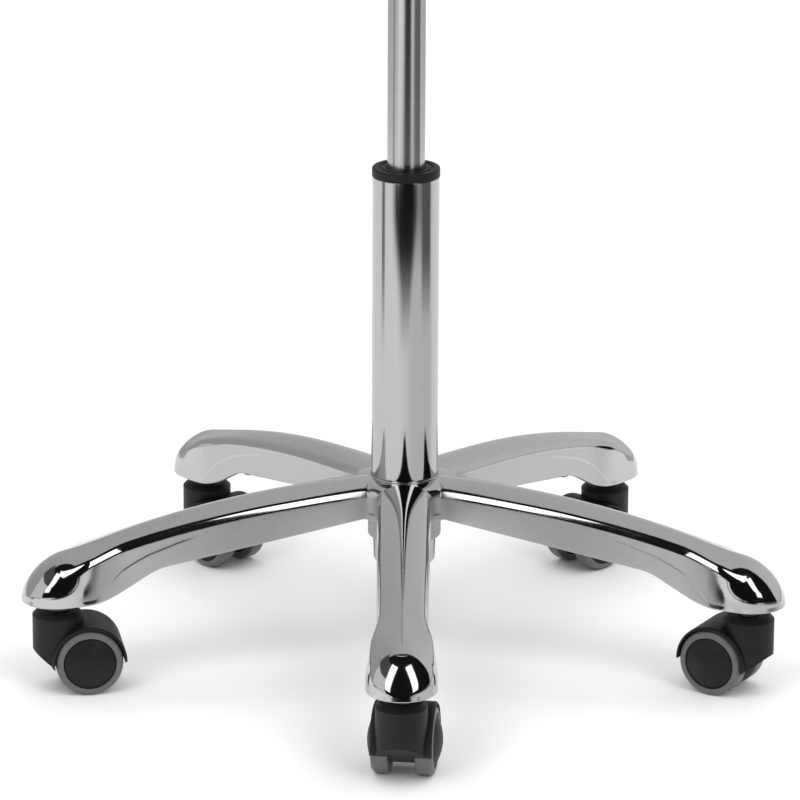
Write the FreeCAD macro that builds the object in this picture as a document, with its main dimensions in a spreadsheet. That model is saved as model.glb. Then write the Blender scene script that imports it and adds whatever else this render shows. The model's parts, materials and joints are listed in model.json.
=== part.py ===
"""Gas-lift stool on a five-arm star base with twin-wheel casters.

Millimetres, +Z up, floor at Z = 0, column on the Z axis, first arm along -Y.
"""
import FreeCAD, Part
import Sketcher
import math
import os

from FreeCAD import Placement, Rotation, Vector

ORIGIN = Vector(0, 0, 0)
AXIS_X = Vector(1, 0, 0)
AXIS_Y = Vector(0, 1, 0)
AXIS_Z = Vector(0, 0, 1)

SIZES = {
    # Caster wheels and axles
    "wheel_diameter": 50,
    "tread_thickness": 4.6,
    "tread_width": 12.8,
    "tread_edge_round": 3.6,
    "disc_diameter": 38.6,
    "dome_height": 4.6,
    "axle_diameter": 6,
    "axle_clearance": 0.05,
    "axle_end_cover": 3,
    # Caster hoods
    "caster_trail": 21.3,
    "web_thickness": 18.6,
    "wheel_side_gap": 0.4,
    "fender_gap": 1.1,
    "fender_thickness": 1.9,
    "fender_edge": 2.4,
    "hood_rise": 12,
    "boss_diameter": 37.6,
    "boss_chamfer": 3.6,
    "hood_clearance_below": 13.5,
    "hood_front_wall": 29,
    "hood_keel_reach": 5,
    # Caster stems
    "stem_diameter": 11,
    "stem_clearance": 0.05,
    "stem_end_gap": 0.4,
    "stem_in_hood": 33,
    "stem_in_socket": 25,
    "stem_shoulder_diameter": 16.4,
    "stem_shoulder_thickness": 1,
    "swivel_gap": 0.4,
    "grip_groove_depth": 0.9,
    "grip_groove_width": 4,
    "grip_groove_height": 12,
    # Resting turn of each caster away from pointing at the column, in degrees
    "caster_turn_one": -7,
    "caster_turn_two": -12,
    "caster_turn_three": -9,
    "caster_turn_four": 7,
    "caster_turn_five": -8,
    # Star base
    "stem_circle_radius": 269,
    "rim_rise": 6.7,
    "base_rise": 72.5,
    "tip_height": 32.8,
    "nose_reach": 28,
    "nose_radius": 47,
    "ridge_start": 30,
    "ridge_below_hub": 0.8,
    "root_depth": 21.5,
    "underside_slope": 8.53,
    "drop_start": 79,
    "drop_end": 21,
    "root_width": 41.8,
    "waist_width": 36.8,
    "tip_width": 51.8,
    "flare_start": 70,
    "flare_end": 8,
    "side_draft": 6,
    "flare_draft": 13,
    "crown_share": 0.17,
    "nose_crown_share": 0.7,
    "shoulder_radius": 8.5,
    "casting_wall": 4,
    "rib_thickness": 3,
    "rib_setback": 6,
    "socket_wall": 3.6,
    "hub_flange_diameter": 86,
    "hub_edge_radius": 10,
    "hub_depth": 48.5,
    "hub_boss_wall": 2.4,
    "hub_flange_depth": 30,
    # Column tube, bush and thrust bearing
    "tube_diameter": 50,
    "tube_wall": 2,
    "tube_below_hub": 20,
    "tube_taper": 3.6,
    "end_plate_inset": 2,
    "end_plate_thickness": 4,
    "washer_thickness": 2,
    "washer_diameter": 34,
    "ball_diameter": 5,
    "ball_pitch_diameter": 24,
    "ball_gap": 0.05,
    "bumper_height": 8,
    "bumper_diameter": 36,
    "bumper_gap": 3,
    "collar_diameter": 50.4,
    "collar_height": 6.5,
    "collar_chamfer": 1.2,
    "collar_recess": 1,
    "bush_length": 73,
    "bush_clearance": 0.05,
    # Gas spring
    "lift_stroke": 190,
    "lowered_gap": 1.5,
    "cylinder_overlap": 83,
    "cylinder_diameter": 28,
    "cylinder_wall": 2,
    "cylinder_cap": 12,
    "cone_length": 35,
    "cone_taper": 1.6,
    "rod_diameter": 10,
    "rod_clearance": 0.05,
    "rod_collar_diameter": 14,
    "clip_gap": 0.3,
    "clip_thickness": 1.2,
    "clip_diameter": 17,
    "clip_groove_depth": 1,
    "rod_tail": 2,
    "seal_height": 8,
    "seal_inset": 0.5,
    "piston_gap": 1.5,
    "piston_height": 12,
    "release_pin_diameter": 6,
    "release_pin_rise": 6,
    "release_pin_tail": 14,
    "release_pin_chamfer": 1.6,
    # Seat plate and lever
    "socket_height": 30,
    "socket_diameter": 37,
    "pan_length": 90,
    "pan_width": 64,
    "pan_wall": 2.5,
    "plate_width": 150,
    "bolt_spacing": 110,
    "lever_diameter": 8,
    "lever_gap": 0.5,
    "lever_eye_diameter": 12,
    "lever_headroom": 2.5,
    "lever_pivot_offset": 25,
    "lever_bend_gap": 4,
    "lever_bend_run": 31,
    "lever_drop": 25,
    "lever_reach": 205,
    "lever_fall": 10,
    "lever_slot_width": 14,
    "pivot_diameter": 5,
    "pivot_clearance": 0.05,
    "grip_length": 62,
    "grip_diameter": 17,
    "grip_neck_diameter": 12,
    # Seat
    "board_diameter": 330,
    "board_thickness": 12,
    "foam_bulge": 6,
    "foam_side_height": 52,
    "foam_edge_radius": 16,
    "foam_crown": 11,
    "cover_thickness": 1.5,
    "cover_turn_under": 26,
    "bolt_diameter": 6,
    "bolt_head_diameter": 12,
    "bolt_head_height": 3.5,
    "bolt_clearance": 0.4,
    "nut_barrel_wall": 1.2,
    "nut_flange_diameter": 19,
    "nut_flange_thickness": 1.5,
}

doc = FreeCAD.newDocument("Stool")
sheet = doc.addObject("Spreadsheet::Sheet", "Sizes")
for row, (alias, number) in enumerate(SIZES.items(), start=1):
    sheet.set(f"A{row}", alias)
    sheet.set(f"B{row}", str(number))
    sheet.setAlias(f"B{row}", alias)
doc.recompute()


class Size:
    """A number together with the sheet expression that gives it."""

    def __init__(self, number, text):
        self.number = float(number)
        self.text = text

    @staticmethod
    def of(value):
        return value if isinstance(value, Size) else Size(value, f"({value})")

    def __float__(self):
        return self.number

    def __add__(self, other):
        other = Size.of(other)
        return Size(self.number + other.number, f"({self.text} + {other.text})")

    def __sub__(self, other):
        other = Size.of(other)
        return Size(self.number - other.number, f"({self.text} - {other.text})")

    def __mul__(self, other):
        other = Size.of(other)
        return Size(self.number * other.number, f"({self.text} * {other.text})")

    def __truediv__(self, other):
        other = Size.of(other)
        return Size(self.number / other.number, f"({self.text} / {other.text})")


def size(alias):
    """The sheet's value under this alias."""
    return Size(sheet.get(alias), f"Sizes.{alias}")


def bind(thing, **properties):
    """Tie properties of a document object to the sheet."""
    for name, value in properties.items():
        setattr(thing, name, float(value))
        thing.setExpression(name, Size.of(value).text)


def lift(thing, x=0, y=0, z=0):
    """Tie the place of a document object to the sheet."""
    for name, value in (("x", x), ("y", y), ("z", z)):
        thing.setExpression(f"Placement.Base.{name}", Size.of(value).text)
    thing.Placement.Base = Vector(float(x), float(y), float(z))


class Arc:
    """A round stretch of an outline; its centre lies left of the path, or right of it."""

    def __init__(self, radius, left=True):
        self.radius = radius
        self.left = left


def arc_centre(start, end, radius, left):
    """Centre of the short arc from start to end, on the given side of the path."""
    middle = (start + end) * 0.5
    chord = end - start
    across = Vector(-chord.y, chord.x, 0).normalize() * (1 if left else -1)
    reach = math.sqrt(max(radius ** 2 - chord.Length ** 2 / 4, 0))
    centre = middle + across * reach
    return centre


def constrain(sketch, *terms):
    """Add one constraint and give its number."""
    return sketch.addConstraint(Sketcher.Constraint(*terms))


def sketch_outline(body, name, outline):
    """A closed outline on the body's XZ plane; each corner is tied to the sheet."""
    sketch = body.newObject("Sketcher::SketchObject", name)
    plane = next(item for item in body.Origin.OriginFeatures if item.Role == "XZ_Plane")
    sketch.AttachmentSupport = [(plane, "")]
    sketch.MapMode = "FlatFace"
    corners = [item for item in outline if not isinstance(item, Arc)]
    rounds = {}
    count = 0
    for item in outline:
        if isinstance(item, Arc):
            rounds[count - 1] = item
        else:
            count += 1
    points = [Vector(float(x), float(z), 0) for x, z in corners]
    starts, ends = [], []
    for index, start in enumerate(points):
        end = points[(index + 1) % len(points)]
        bend = rounds.get(index)
        if bend is None:
            sketch.addGeometry(Part.LineSegment(start, end))
            starts.append(1)
            ends.append(2)
            continue
        centre = arc_centre(start, end, float(bend.radius), bend.left)
        first = math.atan2(start.y - centre.y, start.x - centre.x)
        last = math.atan2(end.y - centre.y, end.x - centre.x)
        angles = (first, last) if bend.left else (last, first)
        round_part = Part.Circle(centre, AXIS_Z, float(bend.radius))
        sketch.addGeometry(Part.ArcOfCircle(round_part, *angles))
        starts.append(1 if bend.left else 2)
        ends.append(2 if bend.left else 1)
    for index in range(len(points)):
        after = (index + 1) % len(points)
        constrain(sketch, "Coincident", index, ends[index], after, starts[after])
    for index, (x, z) in enumerate(corners):
        for kind, axis, value in (("DistanceX", -2, x), ("DistanceY", -1, z)):
            if float(value) == 0:
                constrain(sketch, "PointOnObject", index, starts[index], axis)
                continue
            number = constrain(sketch, kind, -1, 1, index, starts[index], float(value))
            sketch.setExpression(f"Constraints[{number}]", Size.of(value).text)
    for index, bend in rounds.items():
        number = constrain(sketch, "Radius", index, float(bend.radius))
        sketch.setExpression(f"Constraints[{number}]", Size.of(bend.radius).text)
    return sketch


def turned(name, outline):
    """A body turned about its own Z axis from a closed (radius, height) outline."""
    body = doc.addObject("PartDesign::Body", name)
    body.Label = name
    sketch = sketch_outline(body, f"{name}_outline", outline)
    turn = body.newObject("PartDesign::Revolution", f"{name}_turn")
    turn.Profile = sketch
    turn.ReferenceAxis = (sketch, ["V_Axis"])
    turn.Angle = 360
    sketch.Visibility = False
    body.Tip = turn
    return body


def extruded(name, outline, width):
    """A body of the given width, centred on its XZ plane, from a closed (x, z) outline."""
    body = doc.addObject("PartDesign::Body", name)
    body.Label = name
    pad = body.newObject("PartDesign::Pad", f"{name}_pad")
    pad.Profile = sketch_outline(body, f"{name}_outline", outline)
    pad.SideType = "Symmetric"
    bind(pad, Length=width)
    body.Tip = pad
    return body


def cylinder(name, radius, height, x=0, y=0, z=0, direction=AXIS_Z):
    """A round bar that starts at a point and runs along a direction."""
    bar = doc.addObject("Part::Cylinder", name)
    bind(bar, Radius=radius, Height=height)
    bar.Placement.Rotation = Rotation(AXIS_Z, direction)
    lift(bar, x, y, z)
    return bar


def block(name, length, width, height, x, y, z):
    """A box from its lowest corner."""
    solid = doc.addObject("Part::Box", name)
    bind(solid, Length=length, Width=width, Height=height)
    lift(solid, x, y, z)
    return solid


def fused(name, parts):
    """One solid from several that meet."""
    whole = doc.addObject("Part::MultiFuse", name)
    whole.Shapes = parts
    whole.Label = name
    return whole


def cut(name, base, tools):
    """A solid with others taken out of it."""
    tool = tools[0] if len(tools) == 1 else fused(f"{name}_hollows", tools)
    rest = doc.addObject("Part::Cut", name)
    rest.Base = base
    rest.Tool = tool
    rest.Label = name
    return rest


def gathered(name, parts):
    """Several like pieces under one name."""
    group = doc.addObject("Part::Compound", name)
    group.Links = parts
    group.Label = name
    return group


def made(name, shape):
    """A piece whose shape is worked out here from the sheet's sizes."""
    piece = doc.addObject("Part::Feature", name)
    piece.Shape = shape
    piece.Label = name
    return piece


pieces = []

# Heights that the pieces share, from the floor up
wheel_radius = size("wheel_diameter") / 2
hood_top = size("wheel_diameter") + size("hood_rise")
shoulder_bottom = hood_top + size("swivel_gap")
socket_bottom = shoulder_bottom + size("stem_shoulder_thickness")
rim = socket_bottom + size("rim_rise")
hub_top = rim + size("base_rise")
hub_bottom = hub_top - size("hub_depth")
tube_bottom = hub_bottom - size("tube_below_hub")
end_plate_bottom = tube_bottom + size("end_plate_inset")
end_plate_top = end_plate_bottom + size("end_plate_thickness")
ball_centre = end_plate_top + size("washer_thickness") + size("ball_gap") + size("ball_diameter") / 2
upper_washer = ball_centre + size("ball_diameter") / 2 + size("ball_gap")
bumper_bottom = upper_washer + size("washer_thickness")
bumper_top = bumper_bottom + size("bumper_height")
cylinder_bottom = bumper_top + size("bumper_gap") + size("lift_stroke")
tube_top = cylinder_bottom + size("cylinder_overlap")
collar_top = tube_top + size("collar_height")
seat_socket_bottom = collar_top + size("lift_stroke") + size("lowered_gap")
cylinder_top = seat_socket_bottom + size("cone_length")
release_pin_top = cylinder_top + size("release_pin_rise")
lever_height = release_pin_top + size("lever_gap") + size("lever_diameter") / 2
board_bottom = lever_height + size("lever_eye_diameter") / 2 + size("lever_headroom")
board_top = board_bottom + size("board_thickness")

# Star base: one casting with a hub, five hollow arms and five stem sockets
ARM_COUNT = 5
FIRST_ARM = -90
ARM_STATIONS = 16
NOSE_STATIONS = (0.4, 0.65, 0.83, 0.94, 0.985)


def arm_azimuth(number):
    return FIRST_ARM + number * 360 / ARM_COUNT


def smooth_step(share):
    share = min(max(share, 0), 1)
    return share * share * (3 - 2 * share)


def named(*aliases):
    return [float(size(alias)) for alias in aliases]


stem_circle, nose_reach, nose_radius = named("stem_circle_radius", "nose_reach", "nose_radius")
ridge_start, shoulder_radius = named("ridge_start", "shoulder_radius")
side_draft, flare_draft = named("side_draft", "flare_draft")
crown_share, nose_crown_share, casting_wall = named("crown_share", "nose_crown_share", "casting_wall")
tube_radius = size("tube_diameter") / 2
ridge_top = float(hub_top) - float(size("ridge_below_hub"))
ridge_fall = ridge_top - float(rim) - float(size("tip_height"))
ridge_radius = ((stem_circle - ridge_start) ** 2 + ridge_fall ** 2) / (2 * ridge_fall)
ridge_centre = ridge_top - ridge_radius
nose_centre = stem_circle + nose_reach - nose_radius
nose_height = ridge_centre + math.sqrt((ridge_radius - nose_radius) ** 2 - (nose_centre - ridge_start) ** 2)
tangent_share = (nose_centre - ridge_start) / (ridge_radius - nose_radius)
nose_begin = nose_centre + nose_radius * tangent_share


def arm_end(inset):
    """How far out the arm reaches at the height of its rim."""
    radius = nose_radius - inset
    below = max(float(rim) - nose_height, 0)
    return nose_centre + math.sqrt(radius ** 2 - below ** 2)


def ridge(reach, inset):
    """Height of the arm's top line, or of the hollow below it."""
    if reach < nose_begin - inset * tangent_share:
        return ridge_centre + math.sqrt((ridge_radius - inset) ** 2 - (reach - ridge_start) ** 2)
    return nose_height + math.sqrt(max((nose_radius - inset) ** 2 - (reach - nose_centre) ** 2, 0))


def underside(reach):
    """Height of the arm's lower edge: a falling line, then a drop to the level rim."""
    line = float(hub_top) - float(size("root_depth"))
    line -= reach * math.tan(math.radians(float(size("underside_slope"))))
    begin = stem_circle - float(size("drop_start"))
    end = stem_circle - float(size("drop_end"))
    share = smooth_step((reach - begin) / (end - begin))
    return line * (1 - share) + float(rim) * share


def half_width(reach, inset):
    """Half the arm's width at its lower edge, with a rounded end."""
    root, waist, tip = named("root_width", "waist_width", "tip_width")
    begin = stem_circle - float(size("flare_start"))
    end = stem_circle - float(size("flare_end"))
    width = waist + (root - waist) * max(begin - reach, 0) / begin
    width += (tip - waist) * smooth_step((reach - begin) / (end - begin))
    beyond = max(reach - stem_circle, 0) / (arm_end(inset) - stem_circle)
    return (width / 2 - inset) * math.sqrt(max(1 - beyond ** 2, 0))


def arm_section(reach, inset, overshoot):
    """A crowned section across the arm: flat below, drafted sides, round shoulders, arched top."""
    top, bottom, half = ridge(reach, inset), underside(reach), half_width(reach, inset)
    flare_begin = stem_circle - float(size("flare_start"))
    toward_nose = smooth_step((reach - flare_begin) / (arm_end(inset) - flare_begin))
    drop = (crown_share + (nose_crown_share - crown_share) * toward_nose) * (top - bottom)
    crown = (half ** 2 + drop ** 2) / (2 * drop)
    shoulder = min(shoulder_radius, 0.26 * (top - bottom))
    flaring = smooth_step((reach - flare_begin) / (float(size("flare_start")) - float(size("flare_end"))))
    draft = math.radians(side_draft + flare_draft * 4 * flaring * (1 - flaring))
    outward = Vector(0, math.cos(draft), math.sin(draft))
    upward = Vector(0, -math.sin(draft), math.cos(draft))
    foot = Vector(reach, half, bottom)
    crown_centre = Vector(reach, 0, top - crown)
    from_crown = foot - outward * shoulder - crown_centre
    along = from_crown.dot(upward)
    rise = -along + math.sqrt(along ** 2 - from_crown.dot(from_crown) + (crown - shoulder) ** 2)
    centre = foot - outward * shoulder + upward * rise
    toward = (centre - crown_centre).normalize()
    foot = foot - upward * overshoot
    wall_end = centre + outward * shoulder
    arch_end = crown_centre + toward * crown
    shoulder_middle = centre + (outward + toward).normalize() * shoulder

    def across(point):
        return Vector(point.x, -point.y, point.z)

    return Part.Wire([
        Part.makeLine(across(foot), foot),
        Part.makeLine(foot, wall_end),
        Part.Arc(wall_end, shoulder_middle, arch_end).toShape(),
        Part.Arc(arch_end, Vector(reach, 0, top), across(arch_end)).toShape(),
        Part.Arc(across(arch_end), across(shoulder_middle), across(wall_end)).toShape(),
        Part.makeLine(across(wall_end), across(foot)),
    ])


def arm_loft(root, inset, overshoot):
    """The arm's outer form, or the hollow in it."""
    spacing = (stem_circle - root) / ARM_STATIONS
    reaches = [root + spacing * station for station in range(ARM_STATIONS + 1)]
    reaches += [stem_circle + (arm_end(inset) - stem_circle) * share for share in NOSE_STATIONS]
    return Part.makeLoft([arm_section(reach, inset, overshoot) for reach in reaches], True, False)


hub_flange_radius = size("hub_flange_diameter") / 2
hub_edge = size("hub_edge_radius")
hub_boss_radius = tube_radius + size("hub_boss_wall")
hub_underside = hub_top - size("hub_flange_depth")
hub_bore = size("tube_diameter") / 2 - size("tube_taper") / 2 * size("hub_depth") / (
    size("hub_depth") + size("tube_below_hub"))
hub = turned("hub_ring", [
    (hub_bore, hub_bottom),
    (hub_boss_radius, hub_bottom),
    (hub_boss_radius, hub_underside),
    (hub_flange_radius, hub_underside),
    (hub_flange_radius, hub_top - hub_edge),
    Arc(hub_edge),
    (hub_flange_radius - hub_edge, hub_top),
    (tube_radius, hub_top),
])
doc.recompute()

outer_arm = arm_loft(float(hub_flange_radius) * 0.66, 0, 0)
hollow_root = float(hub_flange_radius) + casting_wall
hollow = arm_loft(hollow_root, casting_wall, 3)
socket_radius = float(size("stem_diameter")) / 2 + float(size("socket_wall"))
bore_radius = float(size("stem_diameter") / 2 + size("stem_clearance"))
stem_reach = float(size("stem_in_socket"))
socket_place = Vector(stem_circle, 0, float(socket_bottom))
socket_top = ridge(stem_circle - socket_radius, 0) - float(socket_bottom)
socket_foot = Part.makeCylinder(socket_radius, float(rim - socket_bottom) + 1, socket_place)
socket = Part.makeCylinder(socket_radius, socket_top, socket_place).common(outer_arm).fuse(socket_foot)
bore = Part.makeCylinder(bore_radius, stem_reach + 1, socket_place)
rib_thickness = float(size("rib_thickness"))
rib_setback = float(size("rib_setback"))
rib_end = stem_circle - socket_radius / 2
rib_outline = [Vector(hollow_root - 1, 0, underside(hollow_root) + rib_setback)]
rib_steps = 12
for step in range(1, rib_steps + 1):
    reach = hollow_root + (rib_end - hollow_root) * step / rib_steps
    rib_outline.append(Vector(reach, 0, underside(reach) + rib_setback))
for step in range(rib_steps, -1, -1):
    reach = hollow_root + (rib_end - hollow_root) * step / rib_steps
    rib_outline.append(Vector(reach, 0, ridge(reach, casting_wall / 2)))
rib_outline.append(rib_outline[0])
rib = Part.Face(Part.makePolygon(rib_outline)).extrude(AXIS_Y * rib_thickness)
rib.translate(AXIS_Y * -rib_thickness / 2)
arm = outer_arm.cut(hollow).multiFuse([socket, rib]).cut(bore)

arms = []
for number in range(ARM_COUNT):
    turned_arm = arm.copy()
    turned_arm.rotate(ORIGIN, AXIS_Z, arm_azimuth(number))
    arms.append(turned_arm)
star = hub.Shape.multiFuse(arms)
pieces.append(made("star_base", star))

# Column tube: straight above the hub, tapered where it is wedged into it
tube_bore = tube_radius - size("tube_wall")
tube_end_radius = tube_radius - size("tube_taper") / 2
pieces.append(turned("column_tube", [
    (tube_end_radius - size("tube_wall"), tube_bottom),
    (tube_end_radius, tube_bottom),
    (tube_radius, hub_top),
    (tube_radius, tube_top),
    (tube_bore, tube_top),
    (tube_bore, hub_top),
]))

# Guide bush: a sleeve in the tube with a collar on the tube's end
cylinder_radius = size("cylinder_diameter") / 2
bush_bore = cylinder_radius + size("bush_clearance")
collar_radius = size("collar_diameter") / 2
chamfer = size("collar_chamfer")
recess = size("collar_recess")
pieces.append(turned("guide_bush", [
    (bush_bore, tube_top - size("bush_length")),
    (tube_bore, tube_top - size("bush_length")),
    (tube_bore, tube_top),
    (collar_radius, tube_top),
    (collar_radius, collar_top - chamfer),
    Arc(chamfer),
    (collar_radius - chamfer, collar_top),
    (bush_bore + recess * 4, collar_top),
    (bush_bore + recess * 3, collar_top - recess),
    (bush_bore, collar_top - recess),
]))

# End plate: closes the tube's lower end and carries the thrust bearing
rod_radius = size("rod_diameter") / 2
rod_hole = rod_radius + size("clip_gap")
plate_fit = tube_end_radius - size("tube_wall")
pieces.append(turned("tube_end_plate", [
    (rod_hole, end_plate_bottom),
    (plate_fit, end_plate_bottom),
    (plate_fit, end_plate_top),
    (rod_hole, end_plate_top),
]))

# Thrust bearing: two washers with balls between them
washer_radius = size("washer_diameter") / 2
pieces.append(turned("bearing_lower_washer", [
    (rod_hole, end_plate_top),
    (washer_radius, end_plate_top),
    (washer_radius, end_plate_top + size("washer_thickness")),
    (rod_hole, end_plate_top + size("washer_thickness")),
]))
BALL_COUNT = 10
balls = []
for number in range(BALL_COUNT):
    ball = doc.addObject("Part::Sphere", "bearing_ball")
    bind(ball, Radius=size("ball_diameter") / 2)
    angle = math.radians(number * 360 / BALL_COUNT)
    pitch = size("ball_pitch_diameter") / 2
    lift(ball, pitch * math.cos(angle), pitch * math.sin(angle), ball_centre)
    balls.append(ball)
pieces.append(gathered("bearing_balls", balls))
pieces.append(turned("bearing_upper_washer", [
    (rod_radius, upper_washer),
    (washer_radius, upper_washer),
    (washer_radius, bumper_bottom),
    (rod_radius, bumper_bottom),
]))

# Piston rod: stands on the bearing, held below the end plate by a clip, with the piston on top
rod_collar = size("rod_collar_diameter") / 2
clip_top = end_plate_bottom - size("clip_gap")
clip_bottom = clip_top - size("clip_thickness")
clip_seat = rod_radius - size("clip_groove_depth")
seal_bottom = cylinder_bottom + size("seal_inset")
seal_top = seal_bottom + size("seal_height")
piston_bottom = seal_top + size("piston_gap")
piston_top = piston_bottom + size("piston_height")
rod_collar_top = bumper_bottom + size("bumper_height") / 2
pieces.append(turned("piston_rod", [
    (0, clip_bottom - size("rod_tail")),
    (rod_radius, clip_bottom - size("rod_tail")),
    (rod_radius, clip_bottom),
    (clip_seat, clip_bottom),
    (clip_seat, clip_top),
    (rod_radius, clip_top),
    (rod_radius, bumper_bottom),
    (rod_collar, bumper_bottom),
    (rod_collar, rod_collar_top),
    (rod_radius, rod_collar_top),
    (rod_radius, piston_top),
    (0, piston_top),
]))
pieces.append(turned("rod_clip", [
    (clip_seat, clip_bottom),
    (size("clip_diameter") / 2, clip_bottom),
    (size("clip_diameter") / 2, clip_top),
    (clip_seat, clip_top),
]))
bumper_radius = size("bumper_diameter") / 2
pieces.append(turned("rod_bumper", [
    (rod_collar, bumper_bottom),
    (bumper_radius, bumper_bottom),
    (bumper_radius, bumper_top),
    (rod_collar, bumper_top),
]))
cylinder_bore = cylinder_radius - size("cylinder_wall")
pieces.append(turned("piston", [
    (rod_radius, piston_bottom),
    (cylinder_bore - size("rod_clearance"), piston_bottom),
    (cylinder_bore - size("rod_clearance"), piston_top),
    (rod_radius, piston_top),
]))

# Gas cylinder: slides in the bush, its coned top end wedged into the seat plate's socket
pin_radius = size("release_pin_diameter") / 2
pin_hole = pin_radius + size("rod_clearance")
cone_top_radius = cylinder_radius - size("cone_taper") / 2
cap_bottom = cylinder_top - size("cylinder_cap")
pieces.append(turned("gas_cylinder", [
    (cylinder_bore, cylinder_bottom),
    (cylinder_radius, cylinder_bottom),
    (cylinder_radius, seat_socket_bottom),
    (cone_top_radius, cylinder_top),
    (pin_hole, cylinder_top),
    (pin_hole, cap_bottom),
    (cylinder_bore, cap_bottom),
]))
pieces.append(turned("cylinder_seal", [
    (rod_radius + size("rod_clearance"), seal_bottom),
    (cylinder_bore, seal_bottom),
    (cylinder_bore, seal_top),
    (rod_radius + size("rod_clearance"), seal_top),
]))
pin_chamfer = size("release_pin_chamfer")
pieces.append(turned("release_pin", [
    (0, cap_bottom - size("release_pin_tail")),
    (pin_radius, cap_bottom - size("release_pin_tail")),
    (pin_radius, release_pin_top - pin_chamfer / 2),
    (pin_radius - pin_chamfer, release_pin_top),
    (0, release_pin_top),
]))

# Seat plate: pressed pan with a flange under the board and a tapered socket below
pan_bottom = seat_socket_bottom + size("socket_height")
pan_wall = size("pan_wall")
pan_length = size("pan_length")
pan_width = size("pan_width")
plate_width = size("plate_width")
flange_bottom = board_bottom - pan_wall
half_spacing = size("bolt_spacing") / 2
bolt_radius = size("bolt_diameter") / 2
plate_hole = bolt_radius + size("bolt_clearance")
pan_height = board_bottom - pan_bottom
flange = block("plate_flange", plate_width, plate_width, pan_wall,
               plate_width / -2, plate_width / -2, flange_bottom)
pan = block("plate_pan", pan_length, pan_width, pan_height,
            pan_length / -2, pan_width / -2, pan_bottom)
sleeve = cylinder("plate_socket", size("socket_diameter") / 2, size("socket_height"), z=seat_socket_bottom)
pan_hollow = block("plate_hollow", pan_length - pan_wall * 2, pan_width - pan_wall * 2, pan_height,
                   pan_length / -2 + pan_wall, pan_width / -2 + pan_wall, pan_bottom + pan_wall)
slot_width = size("lever_slot_width")
slot = block("plate_slot", (plate_width - pan_length) / 2 + pan_wall * 2, slot_width, pan_height,
             pan_length / 2 - pan_wall * 2, slot_width / -2, pan_bottom + pan_wall)
socket_cone = doc.addObject("Part::Cone", "plate_cone")
bind(socket_cone, Radius1=cylinder_radius, Radius2=cone_top_radius, Height=size("cone_length"))
lift(socket_cone, z=seat_socket_bottom)
pivot_radius = size("pivot_diameter") / 2
pivot_place = {
    "x": size("lever_pivot_offset"),
    "y": pan_width / -2,
    "z": lever_height,
    "direction": AXIS_Y,
}
pivot_hole = cylinder("plate_pivot_hole", pivot_radius, pan_width, **pivot_place)
corners = [(across, along) for across in (-1, 1) for along in (-1, 1)]
plate_holes = [
    cylinder("plate_bolt_hole", plate_hole, pan_wall,
             x=half_spacing * across, y=half_spacing * along, z=flange_bottom)
    for across, along in corners
]
pieces.append(cut("seat_plate", fused("plate_blank", [flange, pan, sleeve]),
                  [pan_hollow, slot, socket_cone, pivot_hole] + plate_holes))
pivot = cylinder("lever_pivot_pin", pivot_radius, pan_width, **pivot_place)
pivot.Label = "lever_pivot_pin"
pieces.append(pivot)

# Lever: a bent bar that tilts on its pin and presses the release pin, with a grip on its end
lever_radius = size("lever_diameter") / 2
eye_radius = float(size("lever_eye_diameter")) / 2
lever_bend = float(pan_length / 2 + size("lever_bend_gap"))
lever_path = [
    Vector(-float(pin_radius) / 2, 0, float(lever_height)),
    Vector(lever_bend, 0, float(lever_height)),
    Vector(lever_bend + float(size("lever_bend_run")), 0, float(lever_height - size("lever_drop"))),
    Vector(float(size("lever_reach")), 0, float(lever_height - size("lever_drop") - size("lever_fall"))),
]
lever_profile = Part.Wire(Part.makeCircle(float(lever_radius), lever_path[0], AXIS_X))
ROUND_CORNERS = 2
bar = Part.makePolygon(lever_path).makePipeShell([lever_profile], True, False, ROUND_CORNERS)
pivot_centre = Vector(float(size("lever_pivot_offset")), 0, float(lever_height))
eye_half = float(lever_radius) + 1
eye = Part.makeCylinder(eye_radius, 2 * eye_half, pivot_centre - AXIS_Y * eye_half, AXIS_Y)
eye_hole = float(pivot_radius + size("pivot_clearance"))
eye_bore = Part.makeCylinder(eye_hole, 2 * eye_half, pivot_centre - AXIS_Y * eye_half, AXIS_Y)
pieces.append(made("lever_arm", bar.fuse(eye).cut(eye_bore)))

grip_length = size("grip_length")
grip_radius = size("grip_diameter") / 2
grip_neck = size("grip_neck_diameter") / 2
grip_end = grip_length / 10
lever_grip = turned("lever_grip", [
    (lever_radius, 0),
    (grip_neck, 0),
    (grip_radius, grip_length / 3),
    (grip_radius, grip_length - grip_end),
    (grip_radius - grip_end / 2, grip_length),
    (0, grip_length),
    (0, grip_length - grip_end),
    (lever_radius, grip_length - grip_end),
])
lever_run = (lever_path[-1] - lever_path[-2]).normalize()
grip_place = lever_path[-1] - lever_run * float(grip_length - grip_end)
lever_grip.Placement = Placement(grip_place, Rotation(AXIS_Z, lever_run))
pieces.append(lever_grip)

# Seat board: plywood disc bolted to the plate through four flanged nuts
board_radius = size("board_diameter") / 2
barrel_radius = bolt_radius + size("nut_barrel_wall")
nut_flange = size("nut_flange_diameter") / 2
flange_depth = size("nut_flange_thickness")
board = cylinder("board_disc", board_radius, size("board_thickness"), z=board_bottom)
board_holes = []
for across, along in corners:
    place = {"x": half_spacing * across, "y": half_spacing * along}
    board_holes.append(cylinder("board_hole", barrel_radius, size("board_thickness"), z=board_bottom, **place))
    board_holes.append(cylinder("board_counterbore", nut_flange, flange_depth,
                                z=board_top - flange_depth, **place))
pieces.append(cut("seat_board", board, board_holes))

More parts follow.
